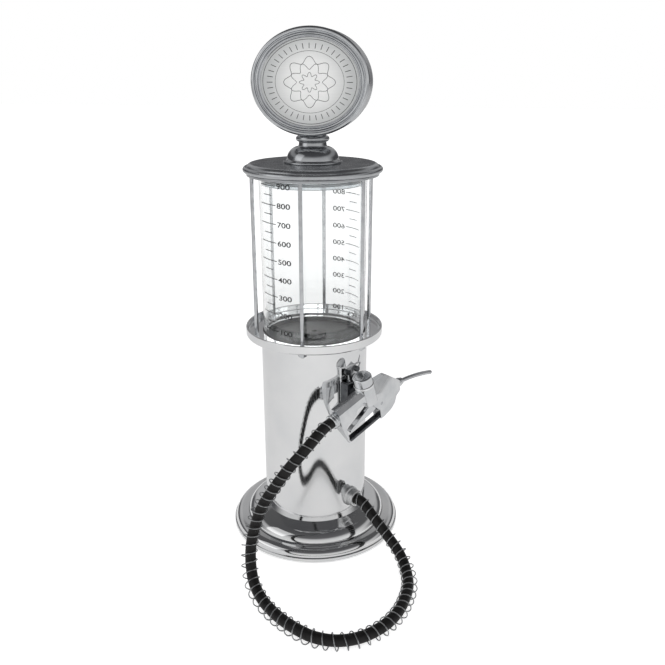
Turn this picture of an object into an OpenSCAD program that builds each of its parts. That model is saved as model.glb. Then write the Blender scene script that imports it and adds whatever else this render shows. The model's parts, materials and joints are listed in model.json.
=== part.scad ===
// Gas pump drink dispenser: a stepped base and polished column carry a clear
// canister in a cage of rods, with a lift-off lid, an oval sign and a hose
// with a trigger nozzle. Origin at the middle of the foot, sign towards -Y.

/* [Base] */
// Radius of the base rim
base_r = 81; // [74:0.5:95]
// Height of the plain band at the rim
base_rim_h = 3.5; // [3.5:0.5:8]
// Ledge between the rim and the lower roll
base_rim_ledge = 1; // [0.6:0.1:2]
// Radius of the lower rolled shoulder
lower_roll_r = 6.5; // [5:0.25:9]
// Radius of the upper rolled shoulder
upper_roll_r = 11; // [7:0.25:12]
// Width of the flat ledge between the two rolls
base_ledge_w = 5.5; // [4:0.5:9]
// Height of the small step under the column
base_step_h = 2.5; // [2:0.1:4]
// How far that step stands out from the column
base_step_w = 3; // [1.5:0.1:4]
// Sheet thickness of the base shell
base_wall = 1.6; // [1:0.1:2]
// Height of the rubber foot pad
foot_h = 2.5; // [2:0.1:4]
// How far the foot pad stands back under the rim
foot_inset = 3; // [2.5:0.1:6]
// Thickness of the bottom cover
base_plate_t = 1.5; // [1:0.1:2]

/* [Column] */
// Outer radius of the column
col_r = 48.8; // [46:0.1:51]
// Wall thickness of the column
col_wall = 1.5; // [1:0.1:1.7]
// Height of the column
col_h = 173; // [165:1:200]
// Height of the welded ring at the column's foot
flange_h = 6; // [4:0.5:8]
// Width of the welded ring at the column's foot
flange_w = 10; // [8:0.5:12]

/* [Gallery and cage] */
// Distance from the rods' circle to the gallery's rim
gallery_brim = 7.9; // [6:0.1:11]
// Thickness of the gallery plate
gallery_t = 3.5; // [3:0.1:5]
// Height of the upturned lip above the plate
gallery_lip_h = 5; // [3:0.5:8]
// Thickness of the upturned lip
gallery_lip_w = 1.7; // [1.2:0.1:2.5]
// Number of cage rods
rod_n = 6; // [4:1:8]
// Diameter of a cage rod
rod_d = 3.4; // [3:0.1:4]
// Distance from the column's skin to the middle of a rod
rod_offset = 6; // [4.5:0.1:7]
// Thickness of the ring on top of the rods
top_ring_t = 2.2; // [2:0.1:6]
// Distance from the rods' circle to the rim of the ring on top of them
top_ring_brim = 2.6; // [2.2:0.1:3.2]

/* [Canister] */
// Gap between the canister's floor and the column's bore
can_gap = 0.8; // [0.7:0.1:3]
// How much wider the canister is at its mouth
can_draft = 0.7; // [0:0.1:1]
// Wall thickness of the canister
can_wall = 2; // [1.5:0.1:3]
// Thickness of the canister floor
can_floor = 3; // [2.5:0.1:4]
// Height of the canister
can_h = 150.7; // [140:0.1:170]
// How deep the canister stands in the column
can_drop = 7; // [5:0.5:9]
// Thickness of the dark pad under the canister
seat_t = 6.5; // [5:0.5:9]
// Radius of the drain hole
drain_r = 6; // [5:0.1:7]

/* [Lid] */
// How far the lid's bead stands out over the ring under it
lid_brim = 3.1; // [2:0.1:5]
// Height of the lid
lid_h = 7.7; // [7:0.1:10]
// Radius of the rounded bead at the rim
lid_bead_r = 2.5; // [2:0.1:3]
// Radius of the rounded shoulder
lid_roll_r = 4.5; // [4:0.1:5]
// Wall thickness of the lid
lid_wall = 2; // [1.5:0.1:2.5]
// Depth of the plug in the canister's mouth
plug_h = 8; // [6:0.5:12]

/* [Sign] */
// Width of the oval sign
sign_w = 99; // [90:0.5:110]
// Height of the oval sign
sign_h = 86; // [80:0.5:96]
// Thickness of the sign's middle ring
sign_t = 21; // [16:0.5:24]
// Width of the rim around the dial
sign_rim = 8.5; // [7.5:0.1:10]
// Height of the neck between lid and sign
neck_h = 22.5; // [20:0.5:30]
// Radius of the neck's foot
neck_foot_r = 24.5; // [22:0.5:28]
// Radius of the neck's waist
neck_waist_r = 11.2; // [10:0.1:13]
// Radius of the bead under the sign
neck_bead_r = 14.2; // [13.6:0.1:17]

/* [Outlet and holster] */
// Azimuth of the pump side, from the front towards +X
pump_az = 53; // [45:1:60]
// Height of the hose outlet
outlet_z = 45; // [42:1:52]
// Radius of the outlet collar
collar_r = 8; // [7.5:0.1:9]
// Length of the outlet collar outside the column
collar_len = 9.2; // [7:0.1:12]
// Outer radius of the outlet nipple
nipple_r = 3.5; // [3:0.1:4]
// Bend radius of the feed tube inside the column
feed_bend_r = 24; // [20:1:26]
// Thickness of the holster plate
plate_t = 1.5; // [1:0.1:2]
// Half of the angle that the holster plate covers
plate_half_angle = 14; // [12:0.5:18]
// How far the parked nozzle's stud lies below the top of the column
hook_drop = 43.5; // [40:0.5:50]
// Distance from the column's skin to the nozzle's middle plane
nozzle_reach = 19.2; // [18:0.1:23]
// Width of the stud's neck
stud_w = 6; // [5:0.1:7]
// Thickness of the fork plate
fork_t = 3; // [2:0.1:3.4]
// Width of the fork
fork_w = 26; // [23:0.5:30]

/* [Nozzle] */
// Tilt of the parked nozzle's grip
nozzle_tilt = 17; // [12:1:20]
// Distance from the hose end to the valve's axis
valve_x = 45; // [44:0.5:50]
// Half of the grip's width
grip_half_w = 6; // [5.6:0.1:6.6]
// Half of the head's width
head_half_w = 7.5; // [7:0.1:8.2]
// Radius of the valve boss
boss_r = 9; // [8.8:0.1:9.6]
// Radius of the valve cap
cap_r = 8.6; // [8:0.1:9]
// Height of the valve cap
cap_h = 8.5; // [7:0.5:12]
// Length of the spout along its arc
spout_len = 50; // [40:1:60]
// Bend radius of the spout
spout_bend_r = 175; // [140:5:220]
// Outer radius of the spout
spout_r = 2; // [1.8:0.1:2.4]
// Thickness of the trigger lever's blade
trigger_w = 5; // [4:0.1:6]
// Width of the hand guard's bar
guard_w = 6; // [5:0.5:8]

/* [Hose] */
// Outer radius of the hose
hose_r = 4.7; // [4:0.1:4.7]
// Radius of the hose's bore
hose_bore_r = 3; // [2.5:0.1:3.2]
// Mean radius of the guard spring
coil_r = 6.8; // [6.4:0.1:7.1]
// Wire diameter of the guard spring
coil_wire_d = 1; // [0.8:0.1:1.2]
// Number of curls of the guard spring
coil_turns = 58; // [45:1:60]

/* [Fits] */
// Clearance of loose holes
loose = 0.15; // [0.1:0.05:0.3]
// Radial clearance of running fits
running = 0.05; // [0.02:0.01:0.08]
// Rest gap between pieces that lift apart
lift_gap = 0.3; // [0.2:0.05:0.4]

/* [Hidden] */
$fn = 96;
over = 1;

// Heights and radii of the base
rim_top_z = foot_h + base_rim_h;
lower_roll_c = base_r - base_rim_ledge - lower_roll_r;
lower_top_z = rim_top_z + base_rim_ledge / 2 + lower_roll_r;
upper_roll_c = lower_roll_c - base_ledge_w - upper_roll_r;
upper_top_z = lower_top_z + upper_roll_r;
base_top_z = upper_top_z + base_step_h;
post_circle_r = lower_roll_c - base_ledge_w / 2 - 2;
post_r = 4;
post_n = 4;
plate_screw_r = 1.5;
plate_screw_head_r = 3;
plate_screw_head_h = 1.7;
base_plate_r = base_r - base_wall - loose;
foot_r = base_r - foot_inset;
foot_hole_r = plate_screw_head_r + 0.7;
plate_screw_bite = 6;

// Column and the rings welded into it
col_ri = col_r - col_wall;
col_top_z = base_top_z + col_h;
flange_ri = col_ri - flange_w;
flange_screw_n = 3;
flange_screw_circle_r = col_ri - flange_w / 2;
flange_screw_r = 2;
flange_screw_head_r = 3.5;
flange_screw_head_h = 2.4;
seat_ring_h = 4;
seat_ring_w = 4.3;

// Canister and its drain
can_r = col_ri - can_gap;
can_z = col_top_z - can_drop;
can_floor_z = can_z + can_floor;
can_top_z = can_z + can_h;
can_top_r = can_r + can_draft;
can_fillet = 2;
seat_z = can_z - seat_t;
drain_seal_t = 1.5;
drain_flange_t = 2;
drain_flange_r = drain_r + 5;
drain_stem_r = drain_r - 0.2;
drain_bore_r = 2.4;
drain_nut_h = 6;
drain_nut_af = 18;
barb_len = 16;
barb_top_z = seat_z - drain_nut_h - 2;
feed_wall = 1.5;
feed_top_z = barb_top_z - 1;

// Gallery, rods and top ring
rod_circle_r = col_r + rod_offset;
gallery_r = rod_circle_r + gallery_brim;
top_ring_r = rod_circle_r + top_ring_brim;
gallery_rebate = 1.5;
gallery_z = col_top_z - gallery_rebate;
gallery_top_z = gallery_z + gallery_t;
rod_nut_h = 3.5;
rod_nut_af = 6.5;
rod_tail = 1.5;
top_ring_skin = 0.8;
rod_grip = top_ring_t - top_ring_skin;
can_sink = 1.3;
top_ring_z = can_top_z + can_sink - top_ring_t;
top_ring_top_z = top_ring_z + top_ring_t;
top_ring_ri = can_top_r + 1.2;

// Lid and neck
lid_r = top_ring_r + lid_brim;
lid_z = top_ring_top_z + lift_gap;
lid_top_z = lid_z + lid_h;
lid_bead_c = lid_r - lid_bead_r;
lid_roll_c = lid_bead_c - 2 * lid_bead_r;
can_mouth_r = can_top_r - can_wall;
plug_r = can_mouth_r - 0.5;
plug_flange_t = 2.5;
plug_flange_r = lid_roll_c - lid_wall;
plug_wall = 2.5;
plug_flange_z = lid_top_z - lid_wall - plug_flange_t;
seal_r = 1.2;
seal_c = can_mouth_r - lift_gap - seal_r;
seal_z = can_top_z - plug_h * 0.55;
bolt_r = 2.5;
bolt_head_af = 8;
bolt_head_h = 3.5;
bolt_grip = 9;
neck_foot_t = 2;
neck_dome_r = neck_foot_r - 2.5;
neck_bead_h = 5;
neck_rise = 2;
neck_waist_h = 4;

// Oval sign
sign_a = sign_w / 2;
sign_b = sign_h / 2;
sign_z = lid_top_z + neck_h + sign_b;
sign_body_wall = sign_rim + 2;
dial_t = 1.2;
dial_lap = 1.2;
oval_steps = 64;
bezel_profile = [
    [0, 0], [0, 1.2], [0.8, 2.4], [2.2, 3], [3.4, 2.2], [4.6, 2.2], [5.8, 3], [7.4, 2.6],
    [sign_rim, 1.6], [sign_rim, dial_t], [sign_rim - dial_lap, dial_t], [sign_rim - dial_lap, 0]
];

// Outlet pieces along the outlet's axis, as distances from the column's axis
collar_face = col_r + collar_len;
collar_edge_r = 1;
collar_foot_w = 1.2;
collar_foot_t = 2;
collar_root = col_r - 3;
collar_bore_r = nipple_r + running;
saddle_in = col_ri - 3.5;
outlet_nut_t = 4;
outlet_nut_in = saddle_in - outlet_nut_t;
outlet_nut_af = 14;
nipple_in = feed_bend_r + 0.5;
nipple_bore_r = nipple_r - 1.2;
feed_sides = 16;
feed_steps = 8;
feed_bore_r = (nipple_r + running) / cos(180 / feed_sides);
feed_r = feed_bore_r + feed_wall;
feed_end = outlet_nut_in - 2;

// Holster
hook_z = col_top_z - hook_drop;
nozzle_d = col_r + nozzle_reach;
plate_ro = col_r + plate_t;
stud_h = 14;
stud_low_z = hook_z - stud_h / 2;
fork_gap = 1.4;
fork_front = nozzle_d - boss_r - fork_gap;
fork_back = fork_front - fork_t;
fork_web = 3;
fork_drop = 9;
fork_rise = 17;
fork_low_z = stud_low_z - fork_drop;
fork_top_z = stud_low_z + fork_rise;
plate_margin = 2;
plate_low_z = fork_low_z - plate_margin;
holster_screw_rise = 8;
holster_screw_z = fork_top_z + holster_screw_rise;
plate_crown = 4.5;
plate_top_z = holster_screw_z + plate_crown;
holster_screw_x = 6;
holster_screw_r = 1.5;
holster_screw_head_r = 2.6;
holster_screw_head_h = 1.5;
holster_screw_tail = 6;
holster_screw_turn = asin(holster_screw_x / plate_ro);
holster_nut_af = 5.5;
holster_nut_t = 2.4;
stud_head_t = 2;
stud_head_w = stud_w + 8;
stud_head_gap = 0.4;

// Nozzle, in its own frame: X along the grip to the spout, Z up, -Y away from the column
hose_nut_len = 6;
hose_nut_r = 6.6;
hose_nut_edge = 0.7;
grip_top = 9.5;
grip_low = -7.5;
grip_crease = 5.5;
grip_ridge_half_w = 3;
grip_edge = 1.5;
head_roof = 9;
head_eave = -1.8;
head_fall = 15;
head_rise = 13;
head_depth = 30;
head_low = -30.3;
head_back_x = valve_x + 7;
head_brow_x = valve_x + 25;
head_brow_drop = 1.5;
head_jaw = [valve_x + 29.5, -18.5];
head_chin = [valve_x + 25.7, -24.8];
head_cheek = [valve_x + 20.5, -28.3];
head_heel_x = valve_x + 11;
head_foot_half_w = 4.5;
head_nose_half_w = 4.6;
head_ridge_half_w = 3;
horn_low = -31.8;
horn_tip_x = valve_x - 30.6;
horn_tip_w = 1.2;
horn_tip_half_w = 1.2;
horn_waist = [valve_x - 32.7, -20];
horn_root = [valve_x - 33.8, -11.5];
horn_front_x = valve_x - 24;
arch_floor_half_w = 3.6;
arch = [[-21.5, -8.5], [-20, -4], [-16.5, -0.8], [-12.5, 0.6], [-9, 0], [-6.7, -2.5], [-6.7, -8.5]];
notch = [[-20.6, -8.5], [-19.8, -4.2], [-7.2, -4.2], [-6.7, -8.5]];
spout_x = valve_x + 37;
spout_z = -12;
spout_pitch = 12;
spout_face = 5;
spout_nut_len = 8;
spout_nut_r = 4.2;
spout_bore_r = spout_r - 0.6;
boss_low = -7;
boss_top = 10;
chamber_r = 6;
chamber_low = -3.5;
packing_r = 3.2;
packing_t = 2;
seat_ring_low = 3;
seat_ring_t = 2;
seat_bore_r = 3.2;
stem_r = 1.5;
disc_r = 4.3;
disc_t = 2;
cap_ring_t = 2.5;
cap_ring_r = boss_r + 0.2;
cap_cavity_r = 4.6;
cap_cavity_top = 6;
flow_r = 2.2;
pin_r = 1.5;
pivot_x = valve_x + 10;
pivot_z = -14;
hub_r = 3.2;
trigger_top = -11.1;
slot_top = -8.6;
slot_back_x = valve_x - 5;
slot_front_x = pivot_x + hub_r + 1;
slot_low = pivot_z - hub_r - 3;
guard_t = 2.8;
trigger_knee_x = valve_x - 9;
trigger_knee_drop = 2.6;
trigger_reach = 29;
trigger_tip = [valve_x - trigger_reach, -21];
trigger_belly = [[-15, -19.2], [-6, -19.6], [2, -18.9]];
pin_half_len = head_half_w - (head_half_w - head_foot_half_w) * (head_eave - pivot_z) / head_depth;
trigger_t = 3.2;
valve_spring_r = 3.3;
valve_spring_wire_d = 0.8;
valve_spring_turns = 5;

// Turns a point of the pump side's frame to the object's frame
function side_pt(p) = [
    p.x * cos(pump_az) - p.y * sin(pump_az),
    p.x * sin(pump_az) + p.y * cos(pump_az),
    p.z
];

// Hose route: out of the collar, down to the table, round in front and up to the nozzle
hose_start = side_pt([0, -collar_face, outlet_z]);
hose_lead = side_pt([0, -collar_face - 8, outlet_z]);
hose_end = side_pt([
    -valve_x * cos(nozzle_tilt),
    -nozzle_d,
    hook_z - valve_x * sin(nozzle_tilt)
]);
hose_end_dir = side_pt([cos(nozzle_tilt), 0, sin(nozzle_tilt)]);
hose_points = [
    [66, -52, 36], [79, -61, 25], [91, -73, 16], [98, -88, 10], [101, -105, 8], [99, -124, 8],
    [94, -142, 8], [84, -159, 8], [69, -173, 8], [51, -180, 8], [32, -179, 8], [14, -171, 8],
    [-2, -160, 8], [-16, -148, 10], [-27, -135, 15], [-33, -124, 25], [-35, -115, 40],
    [-32, -110, 57], [-26, -108, 75], [-15, -107, 94], [-3, -105, 112], [10, -98, 127]
];
route = concat(
    [hose_start, hose_lead],
    hose_points,
    [hose_end - 10 * hose_end_dir, hose_end]
);
route_legs = len(route) - 1;
hose_sides = 12;
hose_steps = 2;
loop_centre = [34, -105, 8];
coil_rings = 10;
coil_sides = 5;
coil_play = 0.1;
coil_snug_play = 0.15;
coil_chord = cos(180 / coil_rings);
coil_shift = coil_r * coil_chord - coil_wire_d / 2 - hose_r - coil_play;
coil_snug_r = (hose_r + coil_wire_d / 2 + coil_snug_play) / coil_chord;
coil_fade = 110;
// A direction that the hose never runs along, from which its frames are turned
frame_ref = [0.5, 0.5, -0.7];

// Smooth curve through the route's points: parameter t counts legs
function route_at(i) = route[max(0, min(route_legs, i))];
function spline(a, b, c, d, t) =
    b + t / 2 * ((c - a) + t * ((2 * a - 5 * b + 4 * c - d) + t * (3 * b - a - 3 * c + d)));
function spline_dir(a, b, c, d, t) =
    ((c - a) + 2 * t * (2 * a - 5 * b + 4 * c - d) + 3 * t * t * (3 * b - a - 3 * c + d)) / 2;
function leg_of(t) = max(0, min(route_legs - 1, floor(t)));
function before(i) = i == 0 ? 2 * route_at(0) - route_at(1) : route_at(i - 1);
function after(i) = i + 2 > route_legs ? 2 * route_at(i + 1) - route_at(i) : route_at(i + 2);
function hose_pos(t) = let (i = leg_of(t)) spline(before(i), route_at(i), route_at(i + 1), after(i), t - i);
function hose_dir(t) = let (
    i = leg_of(t),
    d = spline_dir(before(i), route_at(i), route_at(i + 1), after(i), t - i)
) d / norm(d);
function unit(v) = v / norm(v);

// Running length of the hose against its parameter
length_steps = 8;
length_count = route_legs * length_steps;
route_samples = [for (i = [0 : length_count]) hose_pos(i / length_steps)];
route_lengths = [
    for (i = 0, s = 0; i <= length_count;
        s = s + (i < length_count ? norm(route_samples[i + 1] - route_samples[i]) : 0), i = i + 1)
        s
];
length_table = [for (i = [0 : length_count]) [route_lengths[i], i / length_steps]];
hose_length = route_lengths[length_count];
function t_at(s) = lookup(s, length_table);

// Points of one ring round a centre, square to a direction
function ring_points(c, dir, r, sides) = let (
    n = unit(cross(dir, frame_ref)),
    b = cross(dir, n)
) [for (j = [0 : sides - 1]) let (w = 360 * j / sides) c + r * (cos(w) * n + sin(w) * b)];

// Triangles between rings that follow one another, turned inside out if flip is set
function skin_faces(first, rings, sides, flip) = [
    for (i = [0 : rings - 2], j = [0 : sides - 1], half = [0, 1])
        let (
            k = (j + 1) % sides,
            a = first + i * sides + j,
            b = first + i * sides + k,
            c = a + sides,
            d = b + sides,
            f = half == 0 ? [a, c, b] : [b, c, d]
        )
        flip ? [f[2], f[1], f[0]] : f
];
// Triangles of a flat cap, fanned from its first point
function cap_faces(first, sides, flip) = [
    for (j = [1 : sides - 2])
        flip ? [first, first + j + 1, first + j] : [first, first + j, first + j + 1]
];
// Triangles of a flat washer between two rings of points
function washer_faces(outer, inner, sides, flip) = [
    for (j = [0 : sides - 1], half = [0, 1])
        let (
            k = (j + 1) % sides,
            f = half == 0 ? [outer + j, outer + k, inner + j] : [outer + k, inner + k, inner + j]
        )
        flip ? [f[2], f[1], f[0]] : f
];

// A solid wire through points, each with its direction
module wire(centres, dirs, r, sides) {
    rings = len(centres);
    points = [for (i = [0 : rings - 1]) each ring_points(centres[i], dirs[i], r, sides)];
    polyhedron(points, concat(
        cap_faces(0, sides, false),
        skin_faces(0, rings, sides, false),
        cap_faces((rings - 1) * sides, sides, true)
    ));
}

// A round pipe through points, each with its direction
module pipe(centres, dirs, ro, ri, sides) {
    rings = len(centres);
    outer = [for (i = [0 : rings - 1]) each ring_points(centres[i], dirs[i], ro, sides)];
    inner = [for (i = [0 : rings - 1]) each ring_points(centres[i], dirs[i], ri, sides)];
    first_inner = rings * sides;
    last = (rings - 1) * sides;
    polyhedron(concat(outer, inner), concat(
        skin_faces(0, rings, sides, false),
        skin_faces(first_inner, rings, sides, true),
        washer_faces(0, first_inner, sides, false),
        washer_faces(last, first_inner + last, sides, true)
    ));
}

// Point and normal of the sign's oval, pulled in by an inset
function oval_pt(w, inset) = let (n = unit([sign_b * cos(w), sign_a * sin(w)]))
    [sign_a * cos(w), sign_b * sin(w)] - inset * n;
module oval(inset) {
    polygon([for (i = [0 : oval_steps - 1]) oval_pt(360 * i / oval_steps, inset)]);
}
// Stands a flat outline up in the sign's plane, from y0 away from the front by t
module sign_slab(y0, t) {
    translate([0, y0 + t, sign_z]) rotate([90, 0, 0]) linear_extrude(t) children();
}

// The pump side's frame: X along the column's skin, -Y outwards
module side() {
    rotate([0, 0, pump_az]) children();
}
// At each holster screw: Z outwards from the column's axis
module holster_screw_sites() {
    for (turn = [-holster_screw_turn, holster_screw_turn])
        side() rotate([0, 0, turn]) translate([0, 0, holster_screw_z]) rotate([90, 0, 0]) children();
}
// Along the outlet: Z outwards from the column's axis
module outlet_axis() {
    side() translate([0, 0, outlet_z]) rotate([90, 0, 0]) children();
}
module nozzle_frame() {
    side()
        translate([0, -nozzle_d, hook_z])
            rotate([0, -nozzle_tilt, 0])
                translate([-valve_x, 0, 0])
                    children();
}
module spout_frame() {
    nozzle_frame() translate([spout_x, 0, spout_z]) rotate([0, spout_pitch, 0]) children();
}
// A flat outline in the nozzle's X-Z plane, of width w about its middle plane
module nozzle_slab(w) {
    translate([0, w / 2, 0]) rotate([90, 0, 0]) linear_extrude(w) children();
}
module hexagon(af, h) {
    cylinder(r = af / sqrt(3), h = h, $fn = 6);
}
module tube(ro, ri, h) {
    difference() {
        cylinder(r = ro, h = h);
        translate([0, 0, -over]) cylinder(r = ri, h = h + 2 * over);
    }
}
module ring_of(n, r, turn = 0) {
    for (i = [0 : n - 1]) rotate([0, 0, turn + 360 * i / n]) translate([0, -r, 0]) children();
}

// Half section of the base, pulled in by w
module base_section(w) {
    low = foot_h - (w > 0 ? over : 0);
    translate([0, low]) square([base_r - w, rim_top_z - w - low]);
    translate([0, low]) square([lower_roll_c, lower_top_z - w - low]);
    intersection() {
        translate([lower_roll_c, lower_top_z - lower_roll_r]) circle(r = lower_roll_r - w);
        translate([0, low]) square([base_r, lower_top_z]);
    }
    translate([0, low]) square([upper_roll_c, upper_top_z - w - low]);
    translate([upper_roll_c, lower_top_z]) circle(r = upper_roll_r - w);
    translate([0, low]) square([col_r + base_step_w - w, base_top_z - w - low]);
}
module foot_pad() {
    color("#2b2b2b") difference() {
        cylinder(r = foot_r, h = foot_h);
        ring_of(post_n, post_circle_r, 45)
            translate([0, 0, -over]) cylinder(r = foot_hole_r, h = foot_h + 2 * over);
    }
}
module base_plate() {
    color("#7d8084") translate([0, 0, foot_h]) difference() {
        cylinder(r = base_plate_r, h = base_plate_t);
        ring_of(post_n, post_circle_r, 45)
            translate([0, 0, -over]) cylinder(r = plate_screw_r + loose, h = base_plate_t + 2 * over);
    }
}
module base_plate_screws() {
    color("#9a9da1") ring_of(post_n, post_circle_r, 45) {
        translate([0, 0, foot_h - plate_screw_head_h])
            cylinder(r = plate_screw_head_r, h = plate_screw_head_h);
        translate([0, 0, foot_h]) cylinder(r = plate_screw_r, h = base_plate_t + plate_screw_bite);
    }
}
module base_posts() {
    low = foot_h + base_plate_t;
    color("#8d9094") ring_of(post_n, post_circle_r, 45) translate([0, 0, low]) difference() {
        cylinder(r = post_r, h = lower_top_z - base_wall - low);
        translate([0, 0, -over]) cylinder(r = plate_screw_r + running, h = plate_screw_bite + 1 + over);
    }
}
module base_shell() {
    color("#d9dbde") difference() {
        rotate_extrude() difference() {
            base_section(0);
            base_section(base_wall);
        }
        cylinder(r = flange_ri, h = base_top_z + over);
        ring_of(flange_screw_n, flange_screw_circle_r)
            cylinder(r = flange_screw_r + loose, h = base_top_z + over);
    }
}
module column_flange() {
    color("#9a9da1") translate([0, 0, base_top_z]) difference() {
        tube(col_ri, flange_ri, flange_h);
        ring_of(flange_screw_n, flange_screw_circle_r)
            translate([0, 0, -over]) cylinder(r = flange_screw_r + running, h = flange_h + 2 * over);
    }
}
module flange_screws() {
    under = base_top_z - base_wall;
    color("#9a9da1") ring_of(flange_screw_n, flange_screw_circle_r) {
        translate([0, 0, under - flange_screw_head_h])
            cylinder(r = flange_screw_head_r, h = flange_screw_head_h);
        translate([0, 0, under]) cylinder(r = flange_screw_r, h = base_wall + flange_h - 1);
    }
}
module column() {
    color("#dcdcda") difference() {
        translate([0, 0, base_top_z]) tube(col_r, col_ri, col_h);
        outlet_axis() cylinder(r = nipple_r + loose, h = col_r + over);
        holster_screw_sites() cylinder(r = holster_screw_r + loose, h = col_r + over);
    }
}
module seat_ring() {
    color("#8d9094") translate([0, 0, seat_z - seat_ring_h]) tube(col_ri, col_ri - seat_ring_w, seat_ring_h);
}
module canister_seat() {
    color("#4a4a4c") translate([0, 0, seat_z]) tube(col_ri - loose, drain_r, seat_t);
}
module canister() {
    inner_low = can_r - can_wall + can_draft * can_floor / can_h;
    color("#e8eef0", 0.35) rotate_extrude() polygon([
        [drain_r, can_z], [can_r, can_z], [can_top_r, can_top_z], [can_mouth_r, can_top_z],
        [inner_low, can_floor_z + can_fillet], [inner_low - can_fillet, can_floor_z], [drain_r, can_floor_z]
    ]);
}
module gallery_ring() {
    lip_top = gallery_top_z + gallery_lip_h;
    lip_c = gallery_r - gallery_lip_w / 2;
    color("#d9dbde") difference() {
        rotate_extrude() {
            difference() {
                translate([col_ri, gallery_z]) square([gallery_r - gallery_lip_w - col_ri, gallery_t]);
                translate([col_ri - over, gallery_z - over])
                    square([col_wall + over, gallery_rebate + over]);
            }
            translate([gallery_r - gallery_lip_w, gallery_z + gallery_lip_w])
                square([gallery_lip_w, lip_top - gallery_z - 1.5 * gallery_lip_w]);
            translate([lip_c, lip_top - gallery_lip_w / 2]) circle(d = gallery_lip_w);
            translate([gallery_r - gallery_lip_w, gallery_z + gallery_lip_w]) intersection() {
                circle(r = gallery_lip_w);
                translate([0, -gallery_lip_w]) square(2 * gallery_lip_w);
            }
        }
        ring_of(rod_n, rod_circle_r)
            translate([0, 0, gallery_z - over]) cylinder(d = rod_d + 2 * running, h = gallery_t + 2 * over);
    }
}
module cage_rods() {
    low = gallery_z - rod_nut_h - rod_tail;
    color("#c4c6c9") ring_of(rod_n, rod_circle_r)
        translate([0, 0, low]) cylinder(d = rod_d, h = top_ring_z + rod_grip - low);
}
module rod_nuts() {
    color("#b4b6ba") ring_of(rod_n, rod_circle_r) translate([0, 0, gallery_z - rod_nut_h]) difference() {
        hexagon(rod_nut_af, rod_nut_h);
        translate([0, 0, -over]) cylinder(d = rod_d + 2 * running, h = rod_nut_h + 2 * over);
    }
}
module cage_top_ring() {
    color("#8b8d90") translate([0, 0, top_ring_z]) difference() {
        tube(top_ring_r, top_ring_ri, top_ring_t);
        ring_of(rod_n, rod_circle_r)
            translate([0, 0, -over]) cylinder(d = rod_d + 2 * running, h = rod_grip + over);
    }
}
module drain_fitting() {
    stem_z = can_floor_z + drain_seal_t;
    color("#4a4a4c") difference() {
        union() {
            translate([0, 0, stem_z]) cylinder(r = drain_flange_r, h = drain_flange_t);
            translate([0, 0, barb_top_z]) cylinder(r = drain_stem_r, h = stem_z - barb_top_z);
            translate([0, 0, barb_top_z - barb_len]) cylinder(r = nipple_r, h = barb_len);
        }
        translate([0, 0, barb_top_z - barb_len - over])
            cylinder(r = drain_bore_r, h = stem_z + drain_flange_t - barb_top_z + barb_len + 2 * over);
    }
}
module drain_seal() {
    color("#333333") translate([0, 0, can_floor_z])
        tube(drain_flange_r - 0.5, drain_stem_r + running, drain_seal_t);
}
module drain_nut() {
    color("#c9b27a") translate([0, 0, seat_z - drain_nut_h]) difference() {
        hexagon(drain_nut_af, drain_nut_h);
        translate([0, 0, -over]) cylinder(r = drain_stem_r + running, h = drain_nut_h + 2 * over);
    }
}
module feed_tube() {
    bend_z = outlet_z + feed_bend_r;
    turns = [for (i = [0 : feed_steps]) 90 * i / feed_steps];
    centres = concat(
        [[0, 0, feed_top_z]],
        [for (a = turns) side_pt([0, -feed_bend_r * (1 - cos(a)), bend_z - feed_bend_r * sin(a)])],
        [side_pt([0, -feed_end, outlet_z])]
    );
    dirs = concat(
        [[0, 0, -1]],
        [for (a = turns) side_pt([0, -sin(a), -cos(a)])],
        [side_pt([0, -1, 0])]
    );
    color("#d8dadb") pipe(centres, dirs, feed_r, feed_bore_r, feed_sides);
}
module outlet_nipple() {
    color("#c9b27a") outlet_axis() translate([0, 0, nipple_in])
        tube(nipple_r, nipple_bore_r, collar_face - nipple_in);
}
module outlet_nut() {
    color("#c9b27a") outlet_axis() translate([0, 0, outlet_nut_in]) difference() {
        hexagon(outlet_nut_af, outlet_nut_t);
        translate([0, 0, -over]) cylinder(r = nipple_r + running, h = outlet_nut_t + 2 * over);
    }
}
module outlet_saddle() {
    color("#4a4a4c") intersection() {
        outlet_axis() translate([0, 0, saddle_in]) tube(collar_r + 1, nipple_r + running, col_wall + 4);
        cylinder(r = col_ri, h = outlet_z + 2 * collar_r);
    }
}
module outlet_collar() {
    color("#d9dbde") difference() {
        outlet_axis() rotate_extrude() {
            translate([collar_bore_r, collar_root])
                square([collar_r - collar_edge_r - collar_bore_r, collar_face - collar_root]);
            translate([collar_bore_r, collar_root])
                square([collar_r - collar_bore_r, collar_face - collar_edge_r - collar_root]);
            translate([collar_r - collar_edge_r, collar_face - collar_edge_r]) circle(r = collar_edge_r);
            translate([collar_bore_r, collar_root])
                square([collar_r + collar_foot_w - collar_bore_r, col_r + collar_foot_t - collar_root]);
        }
        cylinder(r = col_r, h = outlet_z + 3 * collar_r);
    }
}
module holster_plate() {
    color("#d0d2d5") difference() {
        side() rotate([0, 0, 270 - plate_half_angle]) rotate_extrude(angle = 2 * plate_half_angle)
            translate([col_r, plate_low_z]) square([plate_t, plate_top_z - plate_low_z]);
        holster_screw_sites() cylinder(r = holster_screw_r + loose, h = plate_ro + over);
    }
}
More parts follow.
